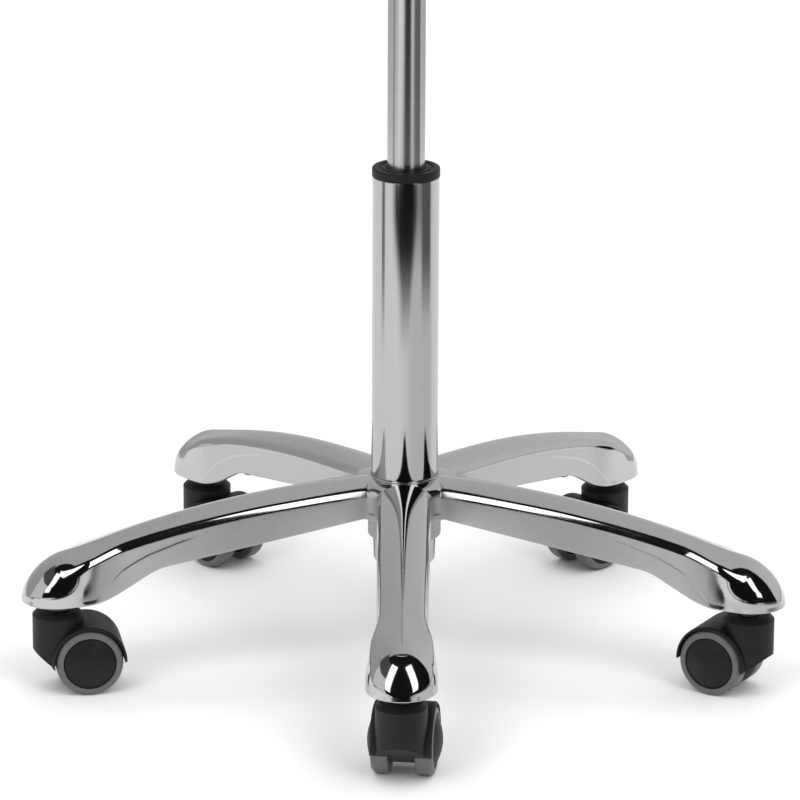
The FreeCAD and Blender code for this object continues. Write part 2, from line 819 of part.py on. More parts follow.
# Seat bolts and flanged nuts
bolts = []
nuts = []
head_radius = size("bolt_head_diameter") / 2
head_bottom = flange_bottom - size("bolt_head_height")
for across, along in corners:
    bolt = turned("seat_bolt", [
        (0, head_bottom),
        (head_radius * 0.8, head_bottom),
        (head_radius, head_bottom + size("bolt_head_height") / 2),
        (head_radius, flange_bottom),
        (bolt_radius, flange_bottom),
        (bolt_radius, board_top),
        (0, board_top),
    ])
    nut = turned("board_nut", [
        (bolt_radius, board_bottom + size("board_thickness") / 4),
        (barrel_radius, board_bottom + size("board_thickness") / 4),
        (barrel_radius, board_top - flange_depth),
        (nut_flange, board_top - flange_depth),
        (nut_flange, board_top),
        (bolt_radius, board_top),
    ])
    for fixing, group in ((bolt, bolts), (nut, nuts)):
        lift(fixing, half_spacing * across, half_spacing * along)
        group.append(fixing)
pieces.append(gathered("seat_bolts", bolts))
pieces.append(gathered("board_nuts", nuts))

# Seat foam and cover: round cushion with drawn-in sides, soft upper edge and a crowned top
bulge = size("foam_bulge")
side_top = board_top + size("foam_side_height")
edge_round = size("foam_edge_radius")
foam_radius = board_radius + bulge
crown_edge = side_top + edge_round
crown_height = crown_edge + size("foam_crown")


def arch_radius(half_span, height):
    """Radius of the arc with this half span and this height."""
    return (half_span * half_span + height * height) / (height * 2)


side_arch = arch_radius(size("foam_side_height") / 2, bulge / 3)
crown_span = foam_radius - edge_round
crown_arch = arch_radius(crown_span, size("foam_crown"))
pieces.append(turned("seat_foam", [
    (0, board_top),
    (board_radius, board_top),
    Arc(side_arch),
    (foam_radius, side_top),
    Arc(edge_round),
    (foam_radius - edge_round, crown_edge),
    Arc(crown_arch),
    (0, crown_height),
]))
skin = size("cover_thickness")
turn_under = board_radius - size("cover_turn_under")
pieces.append(turned("seat_cover", [
    (turn_under, board_bottom - skin),
    (board_radius + skin, board_bottom - skin),
    (board_radius + skin, board_top),
    Arc(side_arch),
    (foam_radius + skin, side_top),
    Arc(edge_round + skin),
    (foam_radius - edge_round, crown_edge + skin),
    Arc(crown_arch),
    (0, crown_height + skin),
    (0, crown_height),
    Arc(crown_arch, left=False),
    (foam_radius - edge_round, crown_edge),
    Arc(edge_round, left=False),
    (foam_radius, side_top),
    Arc(side_arch, left=False),
    (board_radius, board_top),
    (board_radius, board_bottom),
    (turn_under, board_bottom),
]))

# Casters: hood turning on a stem, axle through the hood's web, a wheel on each side of it
TURNS = ("caster_turn_one", "caster_turn_two", "caster_turn_three", "caster_turn_four", "caster_turn_five")
SIDES = {"left": -90, "right": 90}
web_half = size("web_thickness") / 2
wheel_inner = web_half + size("wheel_side_gap")
tread_outer = wheel_inner + size("tread_width")
hood_width = tread_outer * 2
well_radius = wheel_radius + size("fender_gap")
fender_radius = well_radius + size("fender_thickness")
fender_edge = size("fender_edge")
trail = size("caster_trail")
boss_radius = size("boss_diameter") / 2
boss_chamfer = size("boss_chamfer")
keel = size("hood_clearance_below")
wall_bottom = hood_top - size("hood_front_wall")
stem_radius = size("stem_diameter") / 2
stem_hole = stem_radius + size("stem_clearance")
stem_bottom = hood_top - size("stem_in_hood")
stem_top = socket_bottom + size("stem_in_socket")
axle_radius = size("axle_diameter") / 2
axle_hole = axle_radius + size("axle_clearance")
tread_inner = wheel_radius - size("tread_thickness")
disc_radius = size("disc_diameter") / 2
edge = size("tread_edge_round")
dome = size("dome_height")
axle_half = tread_outer + dome - size("axle_end_cover") - 2
groove_bottom = socket_bottom + size("grip_groove_height")
groove_top = groove_bottom + size("grip_groove_width")
groove_radius = stem_radius - size("grip_groove_depth")
shoulder = size("stem_shoulder_diameter") / 2


def caster_hood(name):
    """Hood: round boss on the stem, fender over the wheels, web between them."""
    boss = turned(f"{name}_boss", [
        (0, keel),
        (boss_radius, keel),
        (boss_radius, hood_top - boss_chamfer),
        (boss_radius - boss_chamfer, hood_top),
        (0, hood_top),
    ])
    fender = turned(f"{name}_fender", [
        (0, 0),
        (fender_radius - fender_edge, 0),
        Arc(fender_edge),
        (fender_radius, fender_edge),
        (fender_radius, hood_width - fender_edge),
        Arc(fender_edge),
        (fender_radius - fender_edge, hood_width),
        (0, hood_width),
    ])
    fender.Placement.Rotation = Rotation(AXIS_Z, AXIS_Y)
    lift(fender, trail, tread_outer * -1, wheel_radius)
    below_all = wheel_radius - fender_radius - 1
    below = extruded(f"{name}_below", [
        (boss_radius * -1 - 1, wall_bottom),
        (boss_radius * -1 - 1, below_all),
        (trail + fender_radius + 1, below_all),
        (trail + fender_radius + 1, wheel_radius),
        (trail + fender_radius - size("fender_thickness") / 2, wheel_radius),
        (trail, keel),
        (size("hood_keel_reach"), keel),
    ], hood_width * 2)
    wells = [
        cylinder(f"{name}_well", well_radius, hood_width,
                 x=trail, y=web_half, z=wheel_radius, direction=AXIS_Y),
        cylinder(f"{name}_well", well_radius, hood_width,
                 x=trail, y=web_half * -1 - hood_width, z=wheel_radius, direction=AXIS_Y),
    ]
    stem_bore = cylinder(f"{name}_stem_bore", stem_hole, size("stem_in_hood") + size("stem_end_gap"),
                         z=stem_bottom - size("stem_end_gap"))
    axle_bore = cylinder(f"{name}_axle_bore", axle_radius, hood_width,
                         x=trail, y=tread_outer * -1, z=wheel_radius, direction=AXIS_Y)
    return cut(name, fused(f"{name}_blank", [boss, fender]), [below, stem_bore, axle_bore] + wells)


def caster_stem(name):
    """Stem: steel pin with a shoulder and a groove for its grip ring."""
    return turned(name, [
        (0, stem_bottom),
        (stem_radius, stem_bottom),
        (stem_radius, shoulder_bottom),
        (shoulder, shoulder_bottom),
        (shoulder, socket_bottom),
        (stem_radius, socket_bottom),
        (stem_radius, groove_bottom),
        (groove_radius, groove_bottom),
        (groove_radius, groove_top),
        (stem_radius, groove_top),
        (stem_radius, stem_top - 1),
        (stem_radius - 1, stem_top),
        (0, stem_top),
    ])


def wheel_core(name):
    """Core: hub and rim of one moulding, closed by a domed disc on the outer side."""
    return turned(name, [
        (axle_hole, wheel_inner),
        (tread_inner, wheel_inner),
        (tread_inner, tread_outer - edge),
        (disc_radius, tread_outer - edge / 2),
        (disc_radius, tread_outer + dome / 4),
        Arc(arch_radius(disc_radius, dome * 3 / 4)),
        (0, tread_outer + dome),
        (0, axle_half + 0.5),
        (axle_hole, axle_half + 0.5),
    ])


def wheel_tread(name):
    """Tread: soft ring moulded round the core, with a rounded outer edge."""
    return turned(name, [
        (tread_inner, wheel_inner),
        (wheel_radius - 1, wheel_inner),
        (wheel_radius, wheel_inner + 1),
        (wheel_radius, tread_outer - edge),
        Arc(edge),
        (wheel_radius - edge, tread_outer),
        (disc_radius, tread_outer),
        (disc_radius, tread_outer - edge / 2),
        (tread_inner, tread_outer - edge),
    ])


grips = []
for number in range(ARM_COUNT):
    azimuth = arm_azimuth(number)
    count = number + 1
    on_circle = Vector(stem_circle, 0, 0)
    outward = Rotation(AXIS_Z, azimuth)
    facing = Rotation(AXIS_Z, azimuth + 180 + float(size(TURNS[number])))
    place = Placement(outward.multVec(on_circle), facing)
    stem = caster_stem(f"caster_stem_{count}")
    hood = caster_hood(f"caster_hood_{count}")
    axle = turned(f"caster_axle_{count}", [
        (0, 0),
        (axle_radius, 0),
        (axle_radius, axle_half * 2),
        (0, axle_half * 2),
    ])
    grip = turned(f"stem_grip_{count}", [
        (groove_radius, groove_bottom),
        (stem_radius, groove_bottom),
        (stem_radius, groove_top),
        (groove_radius, groove_top),
    ])
    grips.append(grip)
    for piece in (stem, hood, grip):
        piece.Placement = place
    axle_start = Vector(float(trail), -float(axle_half), float(wheel_radius))
    axle.Placement = place.multiply(Placement(axle_start, Rotation(AXIS_X, -90)))
    pieces.extend([stem, hood, axle])
    for side, tilt in SIDES.items():
        spin = Placement(Vector(float(trail), 0, float(wheel_radius)), Rotation(AXIS_X, tilt))
        for make, kind in ((wheel_core, "wheel_core"), (wheel_tread, "wheel_tread")):
            wheel = make(f"{kind}_{count}_{side}")
            wheel.Placement = place.multiply(spin)
            pieces.append(wheel)
pieces.append(gathered("stem_grip_rings", grips))

doc.recompute()

# Every piece is sound before it is written
for item in doc.Objects:
    if {"Invalid", "Error"} & set(item.State):
        raise RuntimeError(f"{item.Label} did not build: {item.State}")
os.makedirs("parts", exist_ok=True)
for piece in pieces:
    if piece.Shape.isNull() or not piece.Shape.isValid():
        raise RuntimeError(f"{piece.Label} has no sound shape")
    piece.Shape.exportStep(f"parts/{piece.Label}.step")
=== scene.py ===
import json
import math

import bmesh
import bpy
from mathutils import Matrix, Vector
from mathutils.bvhtree import BVHTree


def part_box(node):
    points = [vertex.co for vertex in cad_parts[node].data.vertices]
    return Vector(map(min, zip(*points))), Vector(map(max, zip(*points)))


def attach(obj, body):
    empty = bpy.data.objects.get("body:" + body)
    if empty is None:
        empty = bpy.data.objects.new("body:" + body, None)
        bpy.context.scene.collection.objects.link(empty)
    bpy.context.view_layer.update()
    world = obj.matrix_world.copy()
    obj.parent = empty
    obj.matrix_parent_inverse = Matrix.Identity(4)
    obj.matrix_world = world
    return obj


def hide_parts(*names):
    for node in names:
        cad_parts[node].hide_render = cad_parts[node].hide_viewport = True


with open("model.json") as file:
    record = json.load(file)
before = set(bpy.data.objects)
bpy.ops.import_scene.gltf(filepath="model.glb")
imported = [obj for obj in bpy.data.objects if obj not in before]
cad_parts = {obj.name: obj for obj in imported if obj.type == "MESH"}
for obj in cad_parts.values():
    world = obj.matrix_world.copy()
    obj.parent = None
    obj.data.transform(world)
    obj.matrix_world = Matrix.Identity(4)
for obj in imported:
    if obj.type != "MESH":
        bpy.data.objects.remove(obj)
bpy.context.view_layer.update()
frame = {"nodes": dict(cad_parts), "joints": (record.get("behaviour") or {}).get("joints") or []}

# Star base: one aluminium casting, five hollow arms round a hub, ground and polished to a mirror.
# Each arm has a roof-like top with a rounded ridge, a skirt set off by a crease, and a domed nose.
# The column is wedged into the hub, and a socket under each nose holds a caster's stem.
MM = 0.001


def ends(node):
    """A CAD node's lowest and highest level and its reach towards +X, in millimetres."""
    low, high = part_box(node)
    return round(low.z / MM, 3), round(high.z / MM, 3), round(high.x / MM, 3)


def eased(value, start, end):
    """Goes from 0 at the start to 1 at the end, level at both."""
    share = min(max((value - start) / (end - start), 0), 1)
    return share * share * (3 - 2 * share)


socket_foot, hub_top, _ = ends("star_base")
ARM_COUNT, FIRST_ARM, STEM_CIRCLE, ARM_END = 5, -90, 269, 295.83
HUB_UNDERSIDE, HUB_BOTTOM, HUB_BORE, HUB_BOSS, HUB_FLANGE = 112.6, 94.1, 24.95, 27.4, 41.5

# The ridge is a long arc from the hub, then a straight run that meets the nose's own arc without a corner.
RIDGE_BELOW_HUB, RIDGE_START, RIDGE_END, RIDGE_ARC = 0.8, 30, 222, 753.65
NOSE_CENTRE, NOSE_ARC = 250, 47
ridge_top = hub_top - RIDGE_BELOW_HUB
ridge_slope = math.asin((RIDGE_END - RIDGE_START) / RIDGE_ARC)
run_top = ridge_top - RIDGE_ARC * (1 - math.cos(ridge_slope))
nose_begin = NOSE_CENTRE + NOSE_ARC * math.sin(ridge_slope)
run_fall = (nose_begin - RIDGE_END) * math.tan(ridge_slope)
nose_height = run_top - run_fall - NOSE_ARC * math.cos(ridge_slope)


def ridge(reach):
    """Height of an arm's ridge."""
    if reach > nose_begin:
        return nose_height + math.sqrt(max(NOSE_ARC ** 2 - (reach - NOSE_CENTRE) ** 2, 0))
    if reach > RIDGE_END:
        return run_top - (reach - RIDGE_END) * math.tan(ridge_slope)
    return ridge_top - RIDGE_ARC + math.sqrt(RIDGE_ARC ** 2 - max(reach - RIDGE_START, 0) ** 2)


RIM, UNDERSIDE, UNDERSIDE_FALL, DROP = 70.1, 121.1, 0.15, (190, 248)


def underside(reach):
    """Height of an arm's lower edge: a falling line, then a drop to the level rim."""
    drop = eased(reach, *DROP)
    return (UNDERSIDE - UNDERSIDE_FALL * reach) * (1 - drop) + RIM * drop


WAIST, WAIST_WIDTH, HUB_WIDENING, NOSE_WIDENING, FLARE = 199, 36.8, 5, 15, (220, 267)


def half_width(reach):
    """Half an arm's width at its lower edge."""
    widening = HUB_WIDENING * max(1 - reach / WAIST, 0) + NOSE_WIDENING * eased(reach, *FLARE)
    return (WAIST_WIDTH + widening) / 2


EDGE_ROUND, EDGE_TURNS, RIM_WIDTH = 1, (0, 30, 60, 90), 3.4
CREASE_PATH = [
    (165, 114.5), (181, 110.5), (192, 107), (203, 103.5), (213, 99), (224, 93), (235, 83), (247, 70)]
CREASE_BELOW_RIDGE, CREASE_ABOVE_EDGE, CREASE_DEPTH, CREASE_WIDTH = 15, 1.6, 0.3, 3
CREASE_BEGINS, CREASE_ENDS = (150, 180), (248, 262)
SIDE_DRAFT, SKIRT_DRAFT, SKIRT_BEGINS = math.tan(math.radians(1.2)), math.tan(math.radians(1.5)), (120, 180)
SKIRT_STEPS, CREASE_STEPS = 5, 6


def crease(reach):
    """Height and depth of the crease between an arm's side and its skirt."""
    height = ridge(reach) - CREASE_BELOW_RIDGE
    for (start, high), (end, low) in zip(CREASE_PATH, CREASE_PATH[1:]):
        if start <= reach:
            height = high + (low - high) * min((reach - start) / (end - start), 1)
    depth = CREASE_DEPTH * eased(reach, *CREASE_BEGINS) * (1 - eased(reach, *CREASE_ENDS))
    return max(height, underside(reach) + EDGE_ROUND + CREASE_ABOVE_EDGE), depth


def lower_rows(bottom, crease_height, crease_depth, skirt_draft):
    """An arm's wall from its lower edge up past the crease, as (distance in from the edge, height)."""
    rows = [(RIM_WIDTH, bottom)]
    for turn in EDGE_TURNS:
        angle = math.radians(turn)
        rows.append((EDGE_ROUND * (1 - math.sin(angle)), bottom + EDGE_ROUND * (1 - math.cos(angle))))
    start, end = bottom + EDGE_ROUND, crease_height - CREASE_WIDTH / 2
    for step in range(1, SKIRT_STEPS + 1):
        rise = (end - start) * step / SKIRT_STEPS
        rows.append((rise * skirt_draft, start + rise))
    inset = rows[-1][0]
    for step in range(1, CREASE_STEPS + 1):
        rise = CREASE_WIDTH * step / CREASE_STEPS
        rows.append((inset + rise * SIDE_DRAFT + crease_depth * eased(step, 0, CREASE_STEPS), end + rise))
    return rows


ROOF_SLOPE, ROOF_FALL, LEVELLING = math.tan(math.radians(15.5)), 3, (170, 230)
CREST, NOSE_CREST, SHARPENING, HUB_CREST, HUB_CREST_END = 20, 2, (170, 240), 132, 100
SHOULDER, SIDE_STEPS, SHOULDER_STEPS, ROOF_STEPS, HALVINGS = 8.5, 6, 16, 16, 50


def roof_fall(reach):
    """How far the roof's hollow sides fall below a straight slope."""
    return ROOF_FALL * (1 - eased(reach, *LEVELLING))


def crest_round(reach):
    """Radius of the ridge's crest: wide at the hub, and sharp before the nose."""
    crest = CREST + (NOSE_CREST - CREST) * eased(reach, *SHARPENING)
    return crest + HUB_CREST * max(1 - reach / HUB_CREST_END, 0) ** 2


def upper_rows(base, length, top, crest, fall):
    """An arm's side, shoulder and roof from the crease up to the ridge, as (distance in, height)."""
    inset, height = base
    draft = math.atan(SIDE_DRAFT)
    soften = crest * ROOF_SLOPE ** 2

    def roof(distance):
        away = length - distance
        slant = math.sqrt(soften ** 2 + (ROOF_SLOPE * away) ** 2)
        level = top - slant + soften - fall * (away / length) ** 2
        return level, ROOF_SLOPE ** 2 * away / slant + 2 * fall * away / length ** 2

    near, far = inset, length
    for _ in range(HALVINGS):
        distance = (near + far) / 2
        level, slope = roof(distance)
        norm = math.hypot(slope, 1)
        centre = (distance + SHOULDER * slope / norm, level - SHOULDER / norm)
        room = (centre[0] - inset - (centre[1] - height) * SIDE_DRAFT) * math.cos(draft)
        if room > SHOULDER:
            far = distance
        else:
            near = distance
    start = (centre[0] - SHOULDER * math.cos(draft), centre[1] + SHOULDER * math.sin(draft))
    last = math.pi / 2 - math.atan(slope)
    rows = []
    for step in range(1, SIDE_STEPS + 1):
        share = step / SIDE_STEPS
        rows.append((inset + (start[0] - inset) * share, height + (start[1] - height) * share))
    for step in range(1, SHOULDER_STEPS + 1):
        angle = draft + (last - draft) * step / SHOULDER_STEPS
        rows.append((centre[0] - SHOULDER * math.cos(angle), centre[1] + SHOULDER * math.sin(angle)))
    for step in range(1, ROOF_STEPS + 1):
        along = distance + (length - distance) * step / ROOF_STEPS
        rows.append((along, roof(along)[0]))
    return rows


ROUNDING_START, ROUNDING_END, RIDGE_DELAY = 240, 280, 12


def rounded_nose(rows, base, length, top, reach):
    """Draws a section towards the dome's own, a quarter of an ellipse, the ridge later than the sides."""
    width, height = length - base[0], top - base[1]
    drawn = []
    for inset, level in rows:
        across, up = (length - inset) / width, (level - base[1]) / height
        spoke, angle = math.hypot(across, up), math.atan2(up, across)
        delay = RIDGE_DELAY * up ** 2
        spoke += (1 - spoke) * eased(reach, ROUNDING_START + delay, ROUNDING_END - delay)
        drawn.append((length - width * spoke * math.cos(angle), base[1] + height * spoke * math.sin(angle)))
    return drawn


CASTING_WALL, INNER_EVERY, EDGE_ROWS = 4, 3, len(EDGE_TURNS) + 1


def with_inside(rows):
    """Adds the casting's inner face, one wall thickness in, ahead of a slice's outer rows."""
    outer = rows[EDGE_ROWS - 1:]
    inner = []
    for place in range(0, len(outer), INNER_EVERY):
        before, after = outer[max(place - 1, 0)], outer[min(place + 1, len(outer) - 1)]
        along, up = after[0] - before[0], after[1] - before[1]
        wall = CASTING_WALL / math.hypot(along, up)
        inner.append((outer[place][0] + wall * up, outer[place][1] - wall * along))
    inner[-1] = (outer[-1][0], outer[-1][1] - CASTING_WALL)
    return inner[::-1] + rows


def upright(foot, end, rows):
    """Sets a slice's rows up in the plane from its foot to its end."""
    way = (end - foot).normalized()
    return [(foot.x + way.x * inset, foot.y + way.y * inset, level) for inset, level in with_inside(rows)]


# Half an arm is a row of upright slices. The first ones fan round the valley between two arms, with
# their upper ends on a ring round the column and then on the ridge.
RING, VALLEY_CENTRE, VALLEY_ROUND, VALLEY_ANGLE, HUB_STEPS = 25.6, 48.5, 8, 54, 22
slices, ring_slices = [], 0
bisector = math.radians(180 / ARM_COUNT)
valley = Vector((VALLEY_CENTRE * math.cos(bisector), VALLEY_CENTRE * math.sin(bisector)))
ridge_run = valley.x - RING
path_length = ridge_run + RING * bisector
for step in range(HUB_STEPS, 0, -1):
    turn = math.radians(-90 - VALLEY_ANGLE * step / HUB_STEPS)
    foot = valley + VALLEY_ROUND * Vector((math.cos(turn), math.sin(turn)))
    travel = path_length * step / HUB_STEPS
    if travel > ridge_run:
        azimuth = (travel - ridge_run) / RING
        end = RING * Vector((math.cos(azimuth), math.sin(azimuth)))
        ring_slices += 1
    else:
        end = Vector((valley.x - travel, 0))
    top = ridge(end.x)
    rows = lower_rows(underside(foot.x), top - CREASE_BELOW_RIDGE, 0, SIDE_DRAFT)
    rows += upper_rows(rows[-1], (end - foot).length, top, crest_round(end.x), ROOF_FALL)
    slices.append(upright(foot, end, rows))

# The next slices stand square across the arm, out to the stem's circle.
ARM_STEPS = 90
for step in range(ARM_STEPS + 1):
    reach = valley.x + (STEM_CIRCLE - valley.x) * step / ARM_STEPS
    width, top = half_width(reach), ridge(reach)
    skirt = SIDE_DRAFT + (SKIRT_DRAFT - SIDE_DRAFT) * eased(reach, *SKIRT_BEGINS)
    rows = lower_rows(underside(reach), *crease(reach), skirt)
    base = rows[-1]
    upper = upper_rows(base, width, top, crest_round(reach), roof_fall(reach))
    upper = rounded_nose(upper, base, width, top, reach)
    slices.append(upright(Vector((reach, width)), Vector((reach, 0)), rows + upper))

# The last slices fan round the nose, whose dome follows the last section of the arm.
DOME_BASE, DOME_INSET, DOME_TIP_INSET, DOME_POLE, FAN_STEPS = 3.7, 0.3, 0.62, 12, 30
dome_level = RIM + DOME_BASE
dome_length, dome_width = ARM_END - DOME_TIP_INSET - STEM_CIRCLE, width - DOME_INSET
section = [((width - inset) / (width - base[0]), (level - base[1]) / (top - base[1]))
           for inset, level in [base] + upper]


def dome_height(reach, across):
    """Height of the dome over a point of the nose."""
    edge = dome_width * math.sqrt(max(1 - ((reach - STEM_CIRCLE) / dome_length) ** 2, 1e-9))
    share = min(abs(across) / edge, 1)
    for (wide, low), (narrow, high) in zip(section, section[1:]):
        if narrow <= share <= wide:
            up = low + (high - low) * (wide - share) / max(wide - narrow, 1e-9)
            return dome_level + (ridge(reach) - dome_level) * up
    return ridge(reach) if share < 0.5 else dome_level


for step in range(1, FAN_STEPS + 1):
    turn = math.pi / 2 * step / FAN_STEPS
    foot = Vector((STEM_CIRCLE + (ARM_END - STEM_CIRCLE) * math.sin(turn), width * math.cos(turn)))
    end = Vector((STEM_CIRCLE + DOME_POLE * step / FAN_STEPS, 0))
    if step == FAN_STEPS:
        foot.y = 0
    length, way = (end - foot).length, (end - foot).normalized()
    inset = DOME_INSET + (DOME_TIP_INSET - DOME_INSET) * math.sin(turn) ** 2
    rows = lower_rows(RIM, RIM + EDGE_ROUND + CREASE_ABOVE_EDGE, 0, SKIRT_DRAFT)
    stretch = inset / rows[-1][0]
    rows = rows[:EDGE_ROWS] + [(distance * stretch, level) for distance, level in rows[EDGE_ROWS:]]
    for wide, _ in section[1:]:
        distance = length - (length - inset) * wide
        spot = foot + way * distance
        rows.append((distance, dome_height(spot.x, spot.y)))
    slices.append(upright(foot, end, rows))


def sheet_faces(lines, count):
    """Faces of a sheet of points that is listed line by line, with so many points in each line."""
    starts = [count * line + place for line in range(lines - 1) for place in range(count - 1)]
    return [(start, start + 1, start + count + 1, start + count) for start in starts]


def join(points, faces, more):
    """Adds the points and faces of one more body to those of a mesh."""
    begin = len(points)
    points += more[0]
    faces += [tuple(begin + corner for corner in face) for face in more[1]]


def rounded(outline, steps=6):
    """Rounds each corner (radius, height, rounding) of a closed outline that has a rounding."""
    smooth = []
    for place, corner in enumerate(outline):
        spot = Vector(corner[:2])
        if len(corner) < 3:
            smooth.append(tuple(spot))
            continue
        back = (Vector(outline[place - 1][:2]) - spot).normalized()
        on = (Vector(outline[(place + 1) % len(outline)][:2]) - spot).normalized()
        half = back.angle(on) / 2
        centre = spot + (back + on).normalized() * corner[2] / math.sin(half)
        start, end = spot + back * corner[2] / math.tan(half), spot + on * corner[2] / math.tan(half)
        sweep = (start - centre).angle_signed(end - centre)
        for step in range(steps + 1):
            spoke = start - centre
            spoke.rotate(Matrix.Rotation(-sweep * step / steps, 2))
            smooth.append(tuple(centre + spoke))
    return smooth


def turned(outline, segments, place=Matrix.Identity(4)):
    """A closed outline of (radius, height) in millimetres, turned about the Z axis and then placed."""
    spun, walls, count = [], [], len(outline)
    for segment in range(segments):
        angle = 2 * math.pi * segment / segments
        spun += [place @ Vector((radius * math.cos(angle), radius * math.sin(angle), level)) * MM
                 for radius, level in outline]
        near, far = segment * count, (segment + 1) % segments * count
        for row in range(count):
            above = (row + 1) % count
            walls.append((near + row, far + row, far + above, near + above))
    return spun, walls


# The boss round the column, a fine bead where the hub meets the tube, and on each arm its two halves,
# the stem's socket and a rib under the ridge.
BEAD, BEAD_OUT, BEAD_DOWN, SOCKET_RADIUS, SOCKET_BORE, SOCKET_TOP = 0.65, 0.05, 0.5, 9.1, 5.6, 99
RIB_HALF, RIB_START, RIB_BEFORE_STEM, RIB_ABOVE_EDGE, RIB_BELOW_RIDGE, RIB_STEPS = 1.5, 42, 5, 6, 3, 20
rib_end = STEM_CIRCLE - RIB_BEFORE_STEM
row_count = len(slices[0])
half_walls = sheet_faces(len(slices), row_count)
for place in range(ring_slices):
    near, far = place * row_count, (place + 1) * row_count
    half_walls.append((near, near + row_count - 1, far + row_count - 1, far))
points, faces = turned(rounded([
    (HUB_BORE - 1, HUB_BOTTOM), (HUB_BOSS, HUB_BOTTOM, 2), (HUB_BOSS, HUB_UNDERSIDE, 2),
    (HUB_FLANGE, HUB_UNDERSIDE + 2, 2), (HUB_FLANGE, HUB_UNDERSIDE + 7), (HUB_BOSS, hub_top - 8),
    (HUB_BORE, hub_top - 2)]), 160)
bead_turns = [math.radians(turn) for turn in range(0, 360, 20)]
join(points, faces, turned([
    (RING + BEAD_OUT + BEAD * math.cos(turn), hub_top - BEAD_DOWN + BEAD * math.sin(turn))
    for turn in bead_turns], 200))
for arm in range(ARM_COUNT):
    swing = Matrix.Rotation(math.radians(FIRST_ARM + 360 / ARM_COUNT * arm), 4, "Z")
    for side in (1, -1):
        half = [swing @ Vector((x, side * y, z)) * MM for rows in slices for x, y, z in rows]
        join(points, faces, (half, half_walls))
    stem_place = swing @ Matrix.Translation((STEM_CIRCLE, 0, 0))
    join(points, faces, turned(rounded([
        (SOCKET_BORE, socket_foot, 0.6), (SOCKET_RADIUS, socket_foot, 1.5),
        (SOCKET_RADIUS, SOCKET_TOP), (SOCKET_BORE, SOCKET_TOP)]), 48, stem_place))
    rib, rib_walls = [], [(0, 1, 2, 3), tuple(4 * RIB_STEPS + corner for corner in (3, 2, 1, 0))]
    for step in range(RIB_STEPS + 1):
        reach = RIB_START + (rib_end - RIB_START) * step / RIB_STEPS
        low, high = underside(reach) + RIB_ABOVE_EDGE, ridge(reach) - RIB_BELOW_RIDGE
        for across, level in ((RIB_HALF, low), (RIB_HALF, high), (-RIB_HALF, high), (-RIB_HALF, low)):
            rib.append(swing @ Vector((reach, across, level)) * MM)
    for step in range(RIB_STEPS):
        for corner in range(4):
            near, on = 4 * step + corner, 4 * step + (corner + 1) % 4
            rib_walls.append((near, near + 4, on + 4, on))
    join(points, faces, (rib, rib_walls))


def built(name, points, faces, weld=1e-5, sharp=40):
    """A mesh object from points in metres, welded, turned outwards and shaded smooth up to sharp edges."""
    mesh = bpy.data.meshes.new(name)
    mesh.from_pydata(points, [], faces)
    work = bmesh.new()
    work.from_mesh(mesh)
    bmesh.ops.remove_doubles(work, verts=work.verts, dist=weld)
    bmesh.ops.dissolve_degenerate(work, edges=work.edges, dist=1e-7)
    bmesh.ops.recalc_face_normals(work, faces=work.faces)
    work.to_mesh(mesh)
    work.free()
    mesh.shade_smooth()
    mesh.set_sharp_from_angle(angle=math.radians(sharp))
    thing = bpy.data.objects.new(name, mesh)
    bpy.context.scene.collection.objects.link(thing)
    thing.modifiers.new("even_shading", "WEIGHTED_NORMAL").keep_sharp = True
    return thing


def linear(colour):
    """An sRGB hex colour as linear red, green, blue and alpha."""
    shares = [int(colour[place:place + 2], 16) / 255 for place in (1, 3, 5)]
    return [share / 12.92 if share <= 0.04045 else ((share + 0.055) / 1.055) ** 2.4 for share in shares] + [1]


def add(tree, kind, sockets=(), **settings):
    """Adds a node with its settings, and fills its sockets with values or with links."""
    node = tree.nodes.new(kind)
    for setting, value in settings.items():
        setattr(node, setting, value)
    for socket, value in dict(sockets).items():
        if isinstance(value, bpy.types.NodeSocket):
            tree.links.new(value, node.inputs[socket])
        else:
            node.inputs[socket].default_value = value
    return node


def new_finish(name):
    """An empty material and its node tree."""
    finish = bpy.data.materials.new(name)
    finish.use_nodes = True
    finish.node_tree.nodes.clear()
    return finish, finish.node_tree


def per(millimetres):
    """The texture scale that repeats once in so many millimetres."""
    return 1 / (millimetres * MM)


# Polished cast aluminium: a mirror with a grey cast, satin on the upright sides, where the buffing wheel
# slips, and in the valleys at the hub, where it can't reach. The buffing leaves ripples about 14 mm apart
# and a haze that comes and goes over a few millimetres.
polished_aluminium, tree = new_finish("polished_cast_aluminium")
where = add(tree, "ShaderNodeTexCoord").outputs["Object"]
haze = add(tree, "ShaderNodeTexNoise", {"Vector": where, "Scale": per(5), "Detail": 4})
ripple = add(tree, "ShaderNodeTexNoise", {"Vector": where, "Scale": per(14), "Detail": 1})
tone = add(tree, "ShaderNodeMix", {
    0: haze.outputs[0], 6: linear("#b7b7b8"), 7: linear("#c1c1c2")}, data_type="RGBA")
facing = add(tree, "ShaderNodeSeparateXYZ", {0: add(tree, "ShaderNodeNewGeometry").outputs["Normal"]})
above_floor = add(tree, "ShaderNodeSeparateXYZ", {0: where}).outputs["Z"]
level_part = add(tree, "ShaderNodeVectorMath", {0: where, 1: (1, 1, 0)}, operation="MULTIPLY")
from_axis = add(tree, "ShaderNodeVectorMath", {0: level_part.outputs[0]}, operation="LENGTH").outputs["Value"]
polish = add(tree, "ShaderNodeMapRange", {"Value": haze.outputs[0], "To Min": 0.05, "To Max": 0.1})
sides = add(tree, "ShaderNodeMapRange", {
    "Value": facing.outputs["Z"], "From Min": 0.06, "From Max": 0.2, "To Min": 0.33, "To Max": 0})
inboard = add(tree, "ShaderNodeMapRange", {
    "Value": from_axis, "From Min": 235 * MM, "From Max": 255 * MM, "To Min": 1, "To Max": 0})
